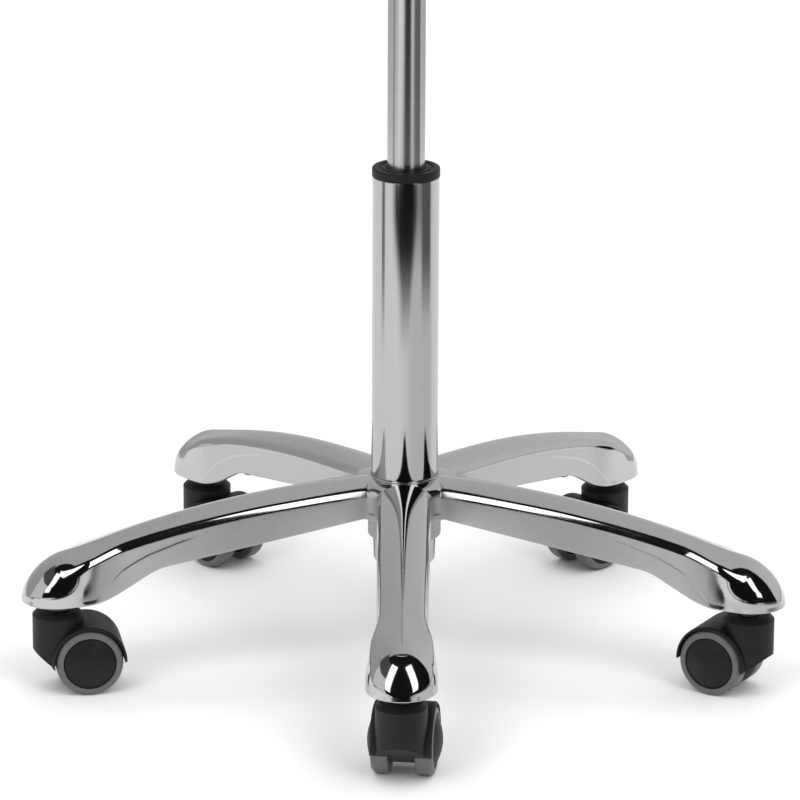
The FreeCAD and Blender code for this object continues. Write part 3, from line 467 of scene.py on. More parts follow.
by_hub = add(tree, "ShaderNodeMapRange", {
    "Value": from_axis, "From Min": 46 * MM, "From Max": 60 * MM, "To Min": 0.25, "To Max": 0})
in_valley = add(tree, "ShaderNodeMapRange", {
    "Value": above_floor, "From Min": 134.5 * MM, "From Max": 138 * MM, "To Min": 1, "To Max": 0})
buffed = add(tree, "ShaderNodeMath", {
    0: sides.outputs[0], 1: inboard.outputs[0], 2: polish.outputs[0]}, operation="MULTIPLY_ADD")
satin = add(tree, "ShaderNodeMath", {
    0: by_hub.outputs[0], 1: in_valley.outputs[0], 2: buffed.outputs[0]}, operation="MULTIPLY_ADD")
wave = add(tree, "ShaderNodeBump", {"Height": ripple.outputs[0], "Strength": 0.25, "Distance": 0.02 * MM})
shader = add(tree, "ShaderNodeBsdfPrincipled", {
    "Base Color": tone.outputs[2], "Metallic": 1, "Roughness": satin.outputs[0], "Normal": wave.outputs[0]})
add(tree, "ShaderNodeOutputMaterial", {"Surface": shader.outputs[0]})


def fitted(thing, finish, body, slot, *stood_for):
    """Gives a piece its finish and its body, and hides the nodes that it stands for. The slot is not used."""
    thing.data.materials.clear()
    thing.data.materials.append(finish)
    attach(thing, body)
    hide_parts(*stood_for)


star_base = built("star_base_casting", points, faces)
fitted(star_base, polished_aluminium, "base", "polished_aluminium", "star_base")

# Column tube: drawn steel tube, bright chrome plated, straight above the hub and tapered inside it.
# The taper is driven into the hub; the lower end has a chamfer and the upper end carries the guide bush.
tube_bottom, tube_top, tube_radius = ends("column_tube")
TUBE_WALL, TUBE_END, TUBE_CHAMFER = 2, 23.2, 1.2
tube_bore = tube_radius - TUBE_WALL
column_tube = built("column_tube_chromed", *turned(rounded([
    (tube_radius, tube_top, 0.4), (tube_bore, tube_top), (tube_bore, hub_top),
    (TUBE_END - TUBE_WALL, tube_bottom), (TUBE_END - TUBE_CHAMFER, tube_bottom, 0.4),
    (TUBE_END, tube_bottom + 2.5, 0.6),
    (tube_radius - 0.02, hub_top - 0.5), (tube_radius, hub_top)]), 256))

# Chrome plate over drawn steel: a cool mirror, with faint draw lines along the tube
# that soften it here and there.
chrome_plate, tree = new_finish("bright_chrome_plate")
where = add(tree, "ShaderNodeTexCoord").outputs["Object"]
drawn = add(tree, "ShaderNodeMapping", {"Vector": where, "Scale": (per(1.5), per(1.5), per(60))})
lines = add(tree, "ShaderNodeTexNoise", {"Vector": drawn.outputs[0], "Scale": 1, "Detail": 3})
tone = add(tree, "ShaderNodeMix", {
    0: lines.outputs[0], 6: linear("#acadae"), 7: linear("#b5b6b7")}, data_type="RGBA")
haze = add(tree, "ShaderNodeMapRange", {"Value": lines.outputs[0], "To Min": 0.05, "To Max": 0.1})
shader = add(tree, "ShaderNodeBsdfPrincipled", {
    "Base Color": tone.outputs[2], "Metallic": 1, "Roughness": haze.outputs[0]})
add(tree, "ShaderNodeOutputMaterial", {"Surface": shader.outputs[0]})
fitted(column_tube, chrome_plate, "base", "chromed_steel", "column_tube")

# Guide bush: moulded black nylon sleeve pressed into the tube, with a collar that covers the tube's end.
# Its top has a shallow ring recess round the bore that guides the gas cylinder.
bush_bottom, collar_top, collar_radius = ends("guide_bush")
BUSH_BORE, LIP_RADIUS, FUNNEL_RADIUS, LIP_DOWN, RECESS_DEPTH = 14.06, 15.3, 14.6, 0.1, 1
RECESS_OUTER, RECESS_INNER, RECESS_SLANT = 20.4, 18, 0.2
guide_bush = built("guide_bush_collar", *turned(rounded([
    (collar_radius, tube_top), (collar_radius, collar_top, 1.3),
    (RECESS_OUTER + RECESS_SLANT, collar_top, 0.4),
    (RECESS_OUTER - RECESS_SLANT, collar_top - RECESS_DEPTH, 0.3),
    (RECESS_INNER + RECESS_SLANT, collar_top - RECESS_DEPTH, 0.3),
    (RECESS_INNER - RECESS_SLANT, collar_top - LIP_DOWN, 0.4), (LIP_RADIUS, collar_top - LIP_DOWN, 0.3),
    (FUNNEL_RADIUS, collar_top - RECESS_DEPTH, 0.3), (BUSH_BORE, collar_top - 1.4), (BUSH_BORE, bush_bottom),
    (tube_bore, bush_bottom), (tube_bore, tube_top)]), 160))

# Moulded nylon: near black and semi-matt, with the fine grain of a spark-eroded mould, about 0.4 mm,
# drawn a little coarser than life so that it shows, and slow flow marks.
black_nylon, tree = new_finish("moulded_black_nylon")
where = add(tree, "ShaderNodeTexCoord").outputs["Object"]
grain = add(tree, "ShaderNodeTexNoise", {"Vector": where, "Scale": per(0.6), "Detail": 2})
flow = add(tree, "ShaderNodeTexNoise", {"Vector": where, "Scale": per(22), "Detail": 2})
tone = add(tree, "ShaderNodeMix", {
    0: flow.outputs[0], 6: linear("#101010"), 7: linear("#181818")}, data_type="RGBA")
matt = add(tree, "ShaderNodeMapRange", {"Value": grain.outputs[0], "To Min": 0.42, "To Max": 0.58})
pits = add(tree, "ShaderNodeBump", {"Height": grain.outputs[0], "Strength": 0.35, "Distance": 0.05 * MM})
shader = add(tree, "ShaderNodeBsdfPrincipled", {
    "Base Color": tone.outputs[2], "Roughness": matt.outputs[0], "IOR": 1.53, "Specular IOR Level": 0.25,
    "Normal": pits.outputs[0]})
add(tree, "ShaderNodeOutputMaterial", {"Surface": shader.outputs[0]})
fitted(guide_bush, black_nylon, "base", "black_nylon", "guide_bush")

# Column's works: end plate, thrust bearing, rod with its clip and bumper, and the piston inside the cylinder.
# Turned and stamped steel, held by the clip under the end plate; all but the lower end is out of sight.

# Zinc-plated steel: a soft grey-blue metal with a fine cloudy spangle, a few millimetres across.
zinc_plate, tree = new_finish("zinc_plated_steel")
where = add(tree, "ShaderNodeTexCoord").outputs["Object"]
spangle = add(tree, "ShaderNodeTexVoronoi", {"Vector": where, "Scale": per(3)})
cloud = add(tree, "ShaderNodeTexNoise", {"Vector": where, "Scale": per(1.2), "Detail": 3})
tone = add(tree, "ShaderNodeMix", {
    0: spangle.outputs[0], 6: linear("#a9adb0"), 7: linear("#bcc0c3")}, data_type="RGBA")
haze = add(tree, "ShaderNodeMapRange", {"Value": cloud.outputs[0], "To Min": 0.25, "To Max": 0.42})
shader = add(tree, "ShaderNodeBsdfPrincipled", {
    "Base Color": tone.outputs[2], "Metallic": 1, "Roughness": haze.outputs[0]})
add(tree, "ShaderNodeOutputMaterial", {"Surface": shader.outputs[0]})

# Ground bearing steel: bright, with the fine rings of the grinding wheel about 0.3 mm apart.
bearing_steel, tree = new_finish("ground_bearing_steel")
where = add(tree, "ShaderNodeTexCoord").outputs["Object"]
turns = add(tree, "ShaderNodeMapping", {"Vector": where, "Scale": (per(8), per(8), per(0.3))})
rings = add(tree, "ShaderNodeTexNoise", {"Vector": turns.outputs[0], "Scale": 1, "Detail": 2})
tone = add(tree, "ShaderNodeMix", {
    0: rings.outputs[0], 6: linear("#b4b4b4"), 7: linear("#c6c6c5")}, data_type="RGBA")
haze = add(tree, "ShaderNodeMapRange", {"Value": rings.outputs[0], "To Min": 0.14, "To Max": 0.24})
shader = add(tree, "ShaderNodeBsdfPrincipled", {
    "Base Color": tone.outputs[2], "Metallic": 1, "Roughness": haze.outputs[0]})
add(tree, "ShaderNodeOutputMaterial", {"Surface": shader.outputs[0]})

# Moulded rubber: dull black with a dusty bloom in patches of about 6 mm.
black_rubber, tree = new_finish("moulded_black_rubber")
where = add(tree, "ShaderNodeTexCoord").outputs["Object"]
bloom = add(tree, "ShaderNodeTexNoise", {"Vector": where, "Scale": per(6), "Detail": 4})
tone = add(tree, "ShaderNodeMix", {
    0: bloom.outputs[0], 6: linear("#1a1a1a"), 7: linear("#2b2b2a")}, data_type="RGBA")
matt = add(tree, "ShaderNodeMapRange", {"Value": bloom.outputs[0], "To Min": 0.6, "To Max": 0.8})
shader = add(tree, "ShaderNodeBsdfPrincipled", {
    "Base Color": tone.outputs[2], "Roughness": matt.outputs[0], "IOR": 1.52})
add(tree, "ShaderNodeOutputMaterial", {"Surface": shader.outputs[0]})


def dressed(finish, *names):
    """Gives CAD nodes that keep their own shape a finish."""
    for name in names:
        materials = frame["nodes"][name].data.materials
        materials.clear()
        materials.append(finish)


dressed(zinc_plate, "tube_end_plate", "rod_clip")
dressed(bearing_steel, "bearing_lower_washer", "bearing_balls", "bearing_upper_washer", "piston_rod")
dressed(black_nylon, "piston", "cylinder_seal")
dressed(black_rubber, "rod_bumper")

# Gas cylinder: the moving part of the column, a steel tube ground round and left satin.
# It slides in the guide bush and its upper end is wedged into the seat plate.
cylinder_bottom, cylinder_top, cylinder_radius = ends("gas_cylinder")
CYLINDER_WALL, HEAD_THICKNESS, VALVE_HOLE = 1.6, 3, 4
gas_cylinder = built("gas_cylinder_ground", *turned(rounded([
    (cylinder_radius, cylinder_bottom, 0.8), (cylinder_radius, cylinder_top, 1.5),
    (VALVE_HOLE, cylinder_top, 0.3), (VALVE_HOLE, cylinder_top - HEAD_THICKNESS),
    (cylinder_radius - CYLINDER_WALL, cylinder_top - HEAD_THICKNESS),
    (cylinder_radius - CYLINDER_WALL, cylinder_bottom)]), 192))

# Centreless-ground steel: satin, with fine rings across the cylinder that smear what it mirrors up and down.
satin_steel, tree = new_finish("ground_satin_steel")
where = add(tree, "ShaderNodeTexCoord").outputs["Object"]
turns = add(tree, "ShaderNodeMapping", {"Vector": where, "Scale": (per(20), per(20), per(0.8))})
rings = add(tree, "ShaderNodeTexNoise", {"Vector": turns.outputs[0], "Scale": 1, "Detail": 3})
tone = add(tree, "ShaderNodeMix", {
    0: rings.outputs[0], 6: linear("#b8b8b7"), 7: linear("#c8c8c7")}, data_type="RGBA")
haze = add(tree, "ShaderNodeMapRange", {"Value": rings.outputs[0], "To Min": 0.15, "To Max": 0.22})
round_axis = add(tree, "ShaderNodeTangent", direction_type="RADIAL", axis="Z")
shader = add(tree, "ShaderNodeBsdfPrincipled", {
    "Base Color": tone.outputs[2], "Metallic": 1, "Roughness": haze.outputs[0], "Anisotropic": 0.75,
    "Anisotropic Rotation": 0.25, "Tangent": round_axis.outputs[0]})
add(tree, "ShaderNodeOutputMaterial", {"Surface": shader.outputs[0]})
fitted(gas_cylinder, satin_steel, "seat", "satin_steel", "gas_cylinder")

# Seat plate: pressed steel plate with a folded pan and a tapered socket, powder coated black.
# Four bolts hold it to the seat board; a pin through the pan carries the release lever.

# Powder coat: black with a low sheen and the orange peel of baked powder, about 1.5 mm across.
powder_coat, tree = new_finish("black_powder_coat")
where = add(tree, "ShaderNodeTexCoord").outputs["Object"]
peel = add(tree, "ShaderNodeTexNoise", {"Vector": where, "Scale": per(1.5), "Detail": 2})
tone = add(tree, "ShaderNodeMix", {
    0: peel.outputs[0], 6: linear("#1d1d1e"), 7: linear("#272728")}, data_type="RGBA")
sheen = add(tree, "ShaderNodeMapRange", {"Value": peel.outputs[0], "To Min": 0.32, "To Max": 0.45})
skin = add(tree, "ShaderNodeBump", {"Height": peel.outputs[0], "Strength": 0.4, "Distance": 0.08 * MM})
shader = add(tree, "ShaderNodeBsdfPrincipled", {
    "Base Color": tone.outputs[2], "Roughness": sheen.outputs[0], "IOR": 1.5, "Normal": skin.outputs[0]})
add(tree, "ShaderNodeOutputMaterial", {"Surface": shader.outputs[0]})
dressed(powder_coat, "seat_plate")
dressed(zinc_plate, "lever_pivot_pin", "seat_bolts", "board_nuts")
dressed(bearing_steel, "release_pin")

# Release lever: bent steel bar with an eye on the pivot pin, and a moulded nylon grip pushed on its end.
# Lifting the grip tilts the bar, which presses the pin of the gas cylinder's valve.
dressed(zinc_plate, "lever_arm")
dressed(black_nylon, "lever_grip")

# Seat board: round birch plywood, sawn and stained black, with tee nuts let into its upper face.
# The cover is drawn over its edge and stapled to its lower face.

# Stained plywood: dull black with grain lines about 3 mm apart that run one way, paler where the stain
# is thin.
stained_plywood, tree = new_finish("black_stained_plywood")
where = add(tree, "ShaderNodeTexCoord").outputs["Object"]
along = add(tree, "ShaderNodeMapping", {"Vector": where, "Scale": (per(60), per(3), per(1.4))})
grain = add(tree, "ShaderNodeTexNoise", {
    "Vector": along.outputs[0], "Scale": 1, "Detail": 5, "Distortion": 0.4})
tone = add(tree, "ShaderNodeMix", {
    0: grain.outputs[0], 6: linear("#1f1d1b"), 7: linear("#36322e")}, data_type="RGBA")
fibre = add(tree, "ShaderNodeBump", {"Height": grain.outputs[0], "Strength": 0.4, "Distance": 0.2 * MM})
shader = add(tree, "ShaderNodeBsdfPrincipled", {
    "Base Color": tone.outputs[2], "Roughness": 0.7, "IOR": 1.5, "Normal": fibre.outputs[0]})
add(tree, "ShaderNodeOutputMaterial", {"Surface": shader.outputs[0]})
dressed(stained_plywood, "seat_board")

# Seat cushion: moulded foam on the board under a cover of black leatherette, drawn tight and stapled below.
# The top panel is sewn to the side band with a welt; the hem is turned under the board.
board_bottom, board_top, board_radius = ends("seat_board")
cover_bottom = ends("seat_cover")[0]
HEM_EDGE, HEM_LEVELLED, SKIN, CLEARANCE, HEM_CLEARANCE, CUT_BELOW = 139, 1.2, 2.4, 0.3, 0.1, 5
BOARD_BAND, BAND_HEIGHT = 6, 8
VOXEL, PRESSURE, SWELL_STEPS, SWELL_CAP, HELD = 5, 4, 20, 2.5, (632, 662)


def drawn_surface(outline, segments):
    """An outline of (radius, height) whose two ends lie on the axis, turned to a closed skin."""
    spun = [(0, 0, outline[0][1] * MM), (0, 0, outline[-1][1] * MM)]
    walls, count = [], len(outline) - 2
    for segment in range(segments):
        angle = 2 * math.pi * segment / segments
        spun += [(radius * math.cos(angle) * MM, radius * math.sin(angle) * MM, level * MM)
                 for radius, level in outline[1:-1]]
        near, far = 2 + segment * count, 2 + (segment + 1) % segments * count
        walls += [(near + row, far + row, far + row + 1, near + row + 1) for row in range(count - 1)]
        walls += [(0, far, near), (1, near + count - 1, far + count - 1)]
    return spun, walls


def evaluated(thing):
    """A piece's mesh with its modifiers applied."""
    bpy.context.view_layer.update()
    depsgraph = bpy.context.evaluated_depsgraph_get()
    return bpy.data.meshes.new_from_object(thing.evaluated_get(depsgraph))


cushion = built("seat_cushion", *drawn_surface(rounded([
    (0, cover_bottom), (80, cover_bottom), (166.5, cover_bottom, 3), (168.5, 650), (171, 704, 17), (136, 707),
    (97, 711.4), (58, 714.2), (19, 715.6), (0, 715.8)]), 96))
remesh = cushion.modifiers.new("voxels", "REMESH")
remesh.mode, remesh.voxel_size = "VOXEL", VOXEL * MM
cushion.data = evaluated(cushion)
cushion.modifiers.clear()

# The foam swells against the cover, which the board holds below.
held = cushion.vertex_groups.new(name="held")
for corner in cushion.data.vertices:
    held.add([corner.index], 1 - eased(corner.co.z / MM, *HELD), "REPLACE")
cloth = cushion.modifiers.new("swell", "CLOTH")
cloth.settings.quality = 6
cloth.settings.use_pressure = True
cloth.settings.uniform_pressure_force = PRESSURE
cloth.settings.effector_weights.gravity = 0
cloth.settings.vertex_group_mass = "held"
for swell_step in range(1, SWELL_STEPS + 1):
    bpy.context.scene.frame_set(swell_step)
swollen = evaluated(cushion)
cushion.modifiers.clear()
bpy.context.scene.frame_set(1)
for corner, moved in zip(cushion.data.vertices, swollen.vertices):
    shift = moved.co - corner.co
    shift.z = max(shift.z, 0)
    corner.co += shift * min(1, SWELL_CAP * MM / max(shift.length, 1e-9))

# The cover's lower edge stays clear of the board's rim, and its hem lies level under the board.
for corner in cushion.data.vertices:
    reach = corner.co.xy.length
    if reach > (board_radius - BOARD_BAND) * MM and corner.co.z < (board_top + BAND_HEIGHT) * MM:
        corner.co.xy *= max(1, (board_radius + SKIN) * MM / reach)
    if corner.co.z < (cover_bottom + HEM_LEVELLED) * MM:
        corner.co.z = cover_bottom * MM
finer = cushion.modifiers.new("finer", "SUBSURF")
finer.levels = finer.render_levels = 1
board_room = built("board_room", *drawn_surface([
    (0, cover_bottom - CUT_BELOW), (HEM_EDGE, cover_bottom - CUT_BELOW),
    (HEM_EDGE, board_bottom - HEM_CLEARANCE),
    (board_radius + CLEARANCE, board_bottom - HEM_CLEARANCE),
    (board_radius + CLEARANCE, board_top + CLEARANCE), (0, board_top + CLEARANCE)], 96))
recess = cushion.modifiers.new("recess", "BOOLEAN")
recess.operation, recess.object, recess.solver = "DIFFERENCE", board_room, "EXACT"
cushion.data = evaluated(cushion)
cushion.modifiers.clear()
bpy.data.objects.remove(board_room)

# The welt is a strip of the cover folded round a filler and sewn into the seam of top panel and side band.
WELT, WELT_PROUD, SEAM_RADIUS, SEAM_LEVEL, STITCHES, WELT_SIDES = 2, 0.5, 140, 675, 180, 10
work = bmesh.new()
work.from_mesh(cushion.data)
cover = BVHTree.FromBMesh(work)
stitches, depths = [], []
for stitch in range(STITCHES):
    angle = 2 * math.pi * stitch / STITCHES
    middle = Vector((SEAM_RADIUS * math.cos(angle), SEAM_RADIUS * math.sin(angle), SEAM_LEVEL)) * MM
    out = Vector((math.cos(angle), math.sin(angle), 1)).normalized()
    stitches.append((middle, out, Vector((-out.x, -out.y, out.z))))
    depths.append((cover.ray_cast(middle + out * 0.2, -out)[0] - middle).length)
welt = []
for stitch, (middle, out, across) in enumerate(stitches):
    depth = sum(depths[(stitch + near) % STITCHES] for near in range(-2, 3)) / 5 + WELT_PROUD * MM
    for side in range(WELT_SIDES):
        angle = 2 * math.pi * side / WELT_SIDES
        offset = out * (depth + WELT * MM * math.cos(angle)) + across * WELT * MM * math.sin(angle)
        welt.append(work.verts.new(middle + offset))
for stitch in range(STITCHES):
    near, far = WELT_SIDES * stitch, WELT_SIDES * ((stitch + 1) % STITCHES)
    for side in range(WELT_SIDES):
        on = (side + 1) % WELT_SIDES
        work.faces.new((welt[near + side], welt[far + side], welt[far + on], welt[near + on]))
bmesh.ops.recalc_face_normals(work, faces=work.faces)
work.to_mesh(cushion.data)
work.free()
cushion.data.shade_smooth()
cushion.data.set_sharp_from_angle(angle=math.radians(50))

# Leatherette: vinyl skin on knitted cloth, black with a low gloss, embossed with a leather grain
# of pebbles about 1.6 mm across and fine creases between them.
leatherette, tree = new_finish("embossed_black_leatherette")
where = add(tree, "ShaderNodeTexCoord").outputs["Object"]
pebble = add(tree, "ShaderNodeTexVoronoi", {
    "Vector": where, "Scale": per(1.6), "Randomness": 1}, feature="DISTANCE_TO_EDGE")
crinkle = add(tree, "ShaderNodeTexNoise", {"Vector": where, "Scale": per(0.7), "Detail": 4})
patch = add(tree, "ShaderNodeTexNoise", {"Vector": where, "Scale": per(40), "Detail": 2})
pebble_top = add(tree, "ShaderNodeMath", {0: pebble.outputs[0], 1: 0.35}, operation="MINIMUM")
relief = add(tree, "ShaderNodeMath", {
    0: crinkle.outputs[0], 1: 0.15, 2: pebble_top.outputs[0]}, operation="MULTIPLY_ADD")
tone = add(tree, "ShaderNodeMix", {
    0: patch.outputs[0], 6: linear("#191919"), 7: linear("#232323")}, data_type="RGBA")
gloss = add(tree, "ShaderNodeMapRange", {"Value": crinkle.outputs[0], "To Min": 0.36, "To Max": 0.5})
emboss = add(tree, "ShaderNodeBump", {"Height": relief.outputs[0], "Strength": 0.6, "Distance": 0.25 * MM})
shader = add(tree, "ShaderNodeBsdfPrincipled", {
    "Base Color": tone.outputs[2], "Roughness": gloss.outputs[0], "IOR": 1.5, "Normal": emboss.outputs[0]})
add(tree, "ShaderNodeOutputMaterial", {"Surface": shader.outputs[0]})
fitted(cushion, leatherette, "seat", "black_leatherette", "seat_foam", "seat_cover")

# The base in the photograph mirrors no seat, so the seat is kept out of what the polished pieces mirror.
cushion.visible_glossy = False
SEAT_NODES = (
    "seat_plate", "seat_board", "seat_bolts", "board_nuts", "lever_pivot_pin", "lever_arm", "lever_grip")
for name in SEAT_NODES:
    frame["nodes"][name].visible_glossy = False

# Casters: moulded nylon hoods that swivel on steel stems, each with two wheels on one steel axle.
# A hood is a round boss with a fender over the wheels and a web between them.
# A wheel is a moulded nylon core with a domed disc outside, and a tread of polyurethane cast round it.
WHEEL_RADIUS, WHEEL_INNER, TREAD_OUTER, TREAD_INNER, AXLE_HOLE = 25, 9.7, 22.5, 19.7, 3.05
DISC_RADIUS, DISC_TOP, DISC_FALL, DISC_WALL = 18.7, 27.1, 5.1, 3
disc = [(DISC_RADIUS * share, DISC_TOP - DISC_FALL * share ** 2) for share in (0.8, 0.6, 0.4, 0.2, 0.05)]
core_outline = rounded([
    (AXLE_HOLE, WHEEL_INNER), (TREAD_INNER, WHEEL_INNER), (TREAD_INNER, TREAD_OUTER - 1.2),
    (DISC_RADIUS + 0.5, TREAD_OUTER - 1.2, 0.15), (DISC_RADIUS + 0.2, TREAD_OUTER - 0.6, 0.3), *disc,
    (0.01, DISC_TOP), (0.01, DISC_TOP - DISC_WALL), (AXLE_HOLE, DISC_TOP - DISC_WALL)])
tread_outline = rounded([
    (TREAD_INNER, WHEEL_INNER), (WHEEL_RADIUS, WHEEL_INNER, 1.2), (WHEEL_RADIUS, TREAD_OUTER, 3.6),
    (TREAD_INNER, TREAD_OUTER, 0.4)], 10)

# Polyurethane: cast mid grey and slightly soft, with a low sheen and a faint mottle of about 4 mm.
grey_polyurethane, tree = new_finish("cast_grey_polyurethane")
where = add(tree, "ShaderNodeTexCoord").outputs["Object"]
mottle = add(tree, "ShaderNodeTexNoise", {"Vector": where, "Scale": per(4), "Detail": 4})
tone = add(tree, "ShaderNodeMix", {
    0: mottle.outputs[0], 6: linear("#565656"), 7: linear("#626262")}, data_type="RGBA")
sheen = add(tree, "ShaderNodeMapRange", {"Value": mottle.outputs[0], "To Min": 0.36, "To Max": 0.48})
shader = add(tree, "ShaderNodeBsdfPrincipled", {
    "Base Color": tone.outputs[2], "Roughness": sheen.outputs[0], "IOR": 1.5})
add(tree, "ShaderNodeOutputMaterial", {"Surface": shader.outputs[0]})

dressed(zinc_plate, "stem_grip_rings")
spins = {joint["child"]: joint for joint in frame["joints"]}
for caster in range(1, ARM_COUNT + 1):
    dressed(zinc_plate, f"caster_stem_{caster}", f"caster_axle_{caster}")
    dressed(black_nylon, f"caster_hood_{caster}")
    for wheel in (f"{caster}_left", f"{caster}_right"):
        spin = spins[f"wheel_{wheel}"]
        outward = Vector(spin["axis"]).to_track_quat("Z", "Y").to_matrix().to_4x4()
        place = Matrix.Translation(Vector(spin["pos_m"]) / MM) @ outward
        core = built(f"wheel_core_{wheel}_moulded", *turned(core_outline, 96, place))
        fitted(core, black_nylon, f"wheel_{wheel}", "black_nylon", f"wheel_core_{wheel}")
        tread = built(f"wheel_tread_{wheel}_cast", *turned(tread_outline, 128, place))
        fitted(tread, grey_polyurethane, f"wheel_{wheel}", "grey_polyurethane", f"wheel_tread_{wheel}")

# Studio: a pale floor, two softboxes ahead of the stool, glowing panels that only polished pieces show,
# painted reflections of a dark room behind the camera and of a bright panel at the left, and the camera
# where the photograph was taken from. These sizes are in metres.
FLOOR_SPAN, ROOM_RADIUS = 30, 14


def ahead(azimuth, elevation, away):
    """A point so far away, by its azimuth from the camera's side towards +X, and its elevation."""
    turn, rise = math.radians(azimuth), math.radians(elevation)
    return Vector((math.sin(turn) * math.cos(rise), -math.cos(turn) * math.cos(rise), math.sin(rise))) * away


floor_edge = [ahead(turn, 0, FLOOR_SPAN) for turn in range(0, 360, 5)]
floor = built("studio_floor", floor_edge, [tuple(range(len(floor_edge)))])
pale_floor, tree = new_finish("pale_painted_floor")
shader = add(tree, "ShaderNodeBsdfPrincipled", {
    "Base Color": linear("#ffffff"), "Roughness": 0.9, "Specular IOR Level": 0.1})
add(tree, "ShaderNodeOutputMaterial", {"Surface": shader.outputs[0]})
floor.data.materials.append(pale_floor)

PANEL_LINES, PANEL_POINTS = 25, 13


def panel(name, azimuths, elevations, colour):
    """A curved glowing panel between two azimuths and two elevations, seen only in what shines: a painted
    reflection.
    """
    def spread(ends, count):
        return [ends[0] + (ends[1] - ends[0]) * step / (count - 1) for step in range(count)]

    spots = [ahead(turn, rise, ROOM_RADIUS)
             for turn in spread(azimuths, PANEL_LINES) for rise in spread(elevations, PANEL_POINTS)]
    card = built(name, spots, sheet_faces(PANEL_LINES, PANEL_POINTS))
    paint, tree = new_finish(name + "_paint")
    # The panel glows in its own colour though it is no lamp: a painted reflection.
    glow = add(tree, "ShaderNodeEmission", {"Color": linear(colour)})
    add(tree, "ShaderNodeOutputMaterial", {"Surface": glow.outputs[0]})
    card.data.materials.append(paint)
    return card


# Painted reflections: glowing panels, dark ahead and overhead, dim at the upper left and bright at the lower
# left.
cards = [
    panel("painted_reflection_dark_front", (-48, 102), (0, 60), "#161616"),
    panel("painted_reflection_dark_ceiling", (-97, 102), (60, 90), "#1a1a1a"),
    panel("painted_reflection_dim_left", (-110, -48), (38, 60), "#5c5c5c"),
    panel("painted_reflection_bright_left", (-100, -48), (0, 38), "#f4f4f4")]


# Painted reflection: a dark sheet just above the floor, seen only in what the polished pieces mirror, shows
# the floor ahead of the stool falling into the dark, between soft edges that run out from the stool.
# An edge is a pair: distances in metres here, and azimuths in degrees below.
NEAR_EDGE, SPREADING, STRIP_FADE, FAR_EDGE = (0.73, 1.15), (0.95, 1.3), (1, 1.3), (1.4, 1.5)
SIDE_START, SIDE_END, LINE_START, LINE_END = (50, 62), (88, 100), (-90, -86), (-77, -73)
GREY_START, GREY_END, FAR_LEFT, FAR_RIGHT = (-20, 35), (90, 110), (-60, -40), (90, 105)
LEFT, LEFT_SPREAD, LEFT_BACK, LEFT_SOFT = -17, 25, 28, 12
RIGHT, RIGHT_SPREAD, RIGHT_BACK, RIGHT_SOFT, SIDE_BACK = 18, 20, 10, 8, 12
STRIP_DARK, STRIP_GAIN, SIDE_DARK, LINE_DARK, GREY_DARK, FAR_DARK = 0.2, 0.5, 0.87, 0.75, 0.25, 0.45


def painted_reflection_share(turn, reach):
    """How dark the painted reflection of the floor is in a direction from the stool, in degrees, and at a
    distance.
    """
    spread, beyond = eased(reach, *SPREADING), eased(reach, *FAR_EDGE)
    left = LEFT - LEFT_SPREAD * spread + LEFT_BACK * beyond
    right = RIGHT + RIGHT_SPREAD * spread - RIGHT_BACK * beyond
    past_left = eased(turn, left - LEFT_SOFT, left + LEFT_SOFT)
    past_right = eased(turn, right - RIGHT_SOFT, right + RIGHT_SOFT)
    at_side = eased(turn, SIDE_START[0] - SIDE_BACK * beyond, SIDE_START[1] - SIDE_BACK * beyond)
    middle = past_left * (1 - past_right)
    fade = (STRIP_DARK + STRIP_GAIN * eased(reach, *STRIP_FADE)) * (1 - beyond)
    strip = past_right * (1 - at_side) * fade
    side = SIDE_DARK * at_side * (1 - eased(turn, *SIDE_END))
    line = LINE_DARK * eased(turn, *LINE_START) * (1 - eased(turn, *LINE_END))
    grey = GREY_DARK * eased(turn, *GREY_START) * (1 - eased(turn, *GREY_END))
    far = FAR_DARK * beyond * max(1 - eased(turn, *FAR_LEFT), eased(turn, *FAR_RIGHT))
    return max((middle + strip + side + line) * eased(reach, *NEAR_EDGE), grey, far)


# A faint dark glow, clear where the share is low: a painted reflection of a dark floor that lights nothing.
painted_floor_reflection, tree = new_finish("painted_reflection_floor_dark")
dark_share = add(tree, "ShaderNodeAttribute", attribute_name="share").outputs["Fac"]
clear = add(tree, "ShaderNodeBsdfTransparent")
black = add(tree, "ShaderNodeEmission", {"Color": linear("#1c1c1c")})
shader = add(tree, "ShaderNodeMixShader", {0: dark_share, 1: clear.outputs[0], 2: black.outputs[0]})
add(tree, "ShaderNodeOutputMaterial", {"Surface": shader.outputs[0]})
CARD_ABOVE_FLOOR = 0.001
bearings = range(-170, 171, 2)
reaches = [0.3, 0.7] + [0.73 + 0.03 * step for step in range(28)] + [2, 3, 5, ROOM_RADIUS]
spots = [ahead(turn, 0, reach) + Vector((0, 0, CARD_ABOVE_FLOOR)) for turn in bearings for reach in reaches]
painted_dark_sheet = built("painted_reflection_floor_sheet", spots, sheet_faces(len(bearings), len(reaches)))
shares = painted_dark_sheet.data.attributes.new("share", "FLOAT", "POINT")
for place, corner in enumerate(painted_dark_sheet.data.vertices):
    turn = math.degrees(math.atan2(corner.co.x, -corner.co.y))
    shares.data[place].value = painted_reflection_share(turn, corner.co.xy.length)
painted_dark_sheet.data.materials.append(painted_floor_reflection)
cards.append(painted_dark_sheet)
# The panels and the sheet on the floor are painted reflections: the camera doesn't see them, and they light
# nothing and cast no shadow.
for card in cards:
    card.visible_camera = card.visible_diffuse = card.visible_shadow = card.visible_transmission = False

SOFTBOX_TURN, SOFTBOX_RISE, SOFTBOX_AWAY, SOFTBOX_SIZE, SOFTBOX_SHINE = 37, 40, 10, (3.1, 8.9), 2.6
CEILING_HEIGHT, CEILING_SIZE, CEILING_SHINE = 9, (12, 12), 0.86


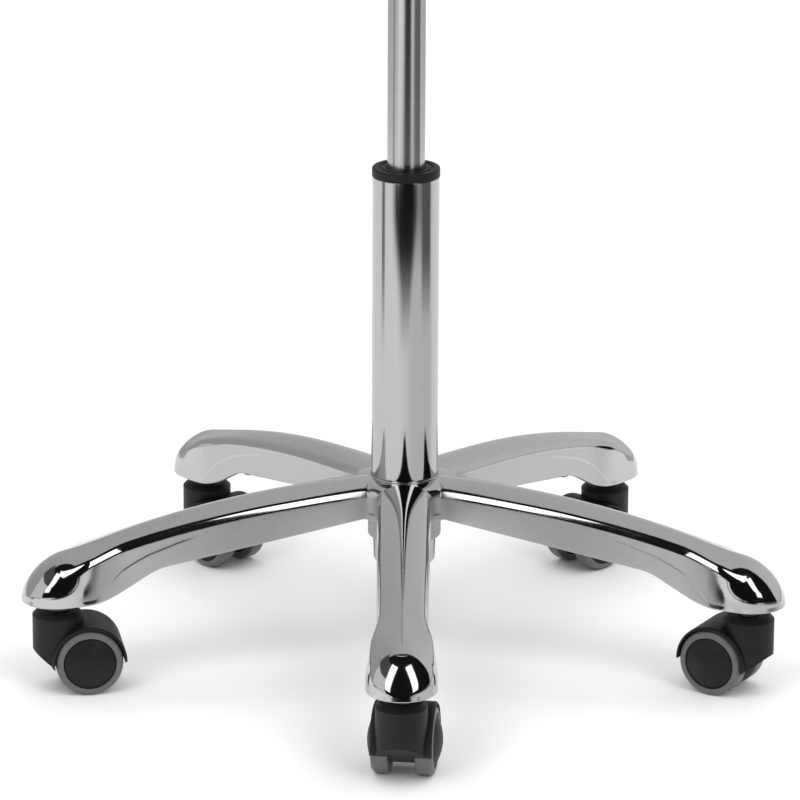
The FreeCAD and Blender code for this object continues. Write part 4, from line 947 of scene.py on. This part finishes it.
def area_light(name, spot, size, shine):
    """A light of so much radiance that faces the stool."""
    lamp = bpy.data.lights.new(name, "AREA")
    lamp.shape = "RECTANGLE"
    lamp.size, lamp.size_y = size
    lamp.energy = shine * math.pi * size[0] * size[1]
    light = bpy.data.objects.new(name, lamp)
    bpy.context.scene.collection.objects.link(light)
    light.location = spot
    light.rotation_euler = spot.to_track_quat("Z", "Y").to_euler()
    light.visible_camera = False
    return light


for turn in (-SOFTBOX_TURN, SOFTBOX_TURN):
    area_light("softbox", ahead(turn, SOFTBOX_RISE, SOFTBOX_AWAY), SOFTBOX_SIZE, SOFTBOX_SHINE)
ceiling_light = area_light("ceiling_light", Vector((0, 0, CEILING_HEIGHT)), CEILING_SIZE, CEILING_SHINE)
ceiling_light.visible_glossy = False

# The room's own light is plain grey, paler towards the right.
world = bpy.data.worlds.new("pale_studio")
world.use_nodes = True
tree = world.node_tree
tree.nodes.clear()
direction = add(tree, "ShaderNodeSeparateXYZ", {0: add(tree, "ShaderNodeTexCoord").outputs["Generated"]})
brightness = add(tree, "ShaderNodeMapRange", {
    "Value": direction.outputs["X"], "From Min": -0.8, "From Max": 0.8, "To Min": 0.5, "To Max": 0.82})
glow = add(tree, "ShaderNodeBackground", {"Color": brightness.outputs[0], "Strength": 1})
add(tree, "ShaderNodeOutputWorld", {"Surface": glow.outputs[0]})
bpy.context.scene.world = world

STAND, AIM = Vector((0.01882, -3.73404, 1.38859)), Vector((-0.003687, 0, 0.199209))
LENS, SENSOR, TILT = 236.08, 36, math.radians(0.2732)
lens = bpy.data.cameras.new("photo_camera")
lens.sensor_width, lens.lens = SENSOR, LENS
camera = bpy.data.objects.new("photo_camera", lens)
bpy.context.scene.collection.objects.link(camera)
look = (AIM - STAND).to_track_quat("-Z", "Y").to_matrix().to_4x4()
camera.matrix_world = Matrix.Translation(STAND) @ look @ Matrix.Rotation(TILT, 4, "Z")
bpy.context.scene.camera = camera
bpy.context.scene.view_settings.view_transform = "Standard"
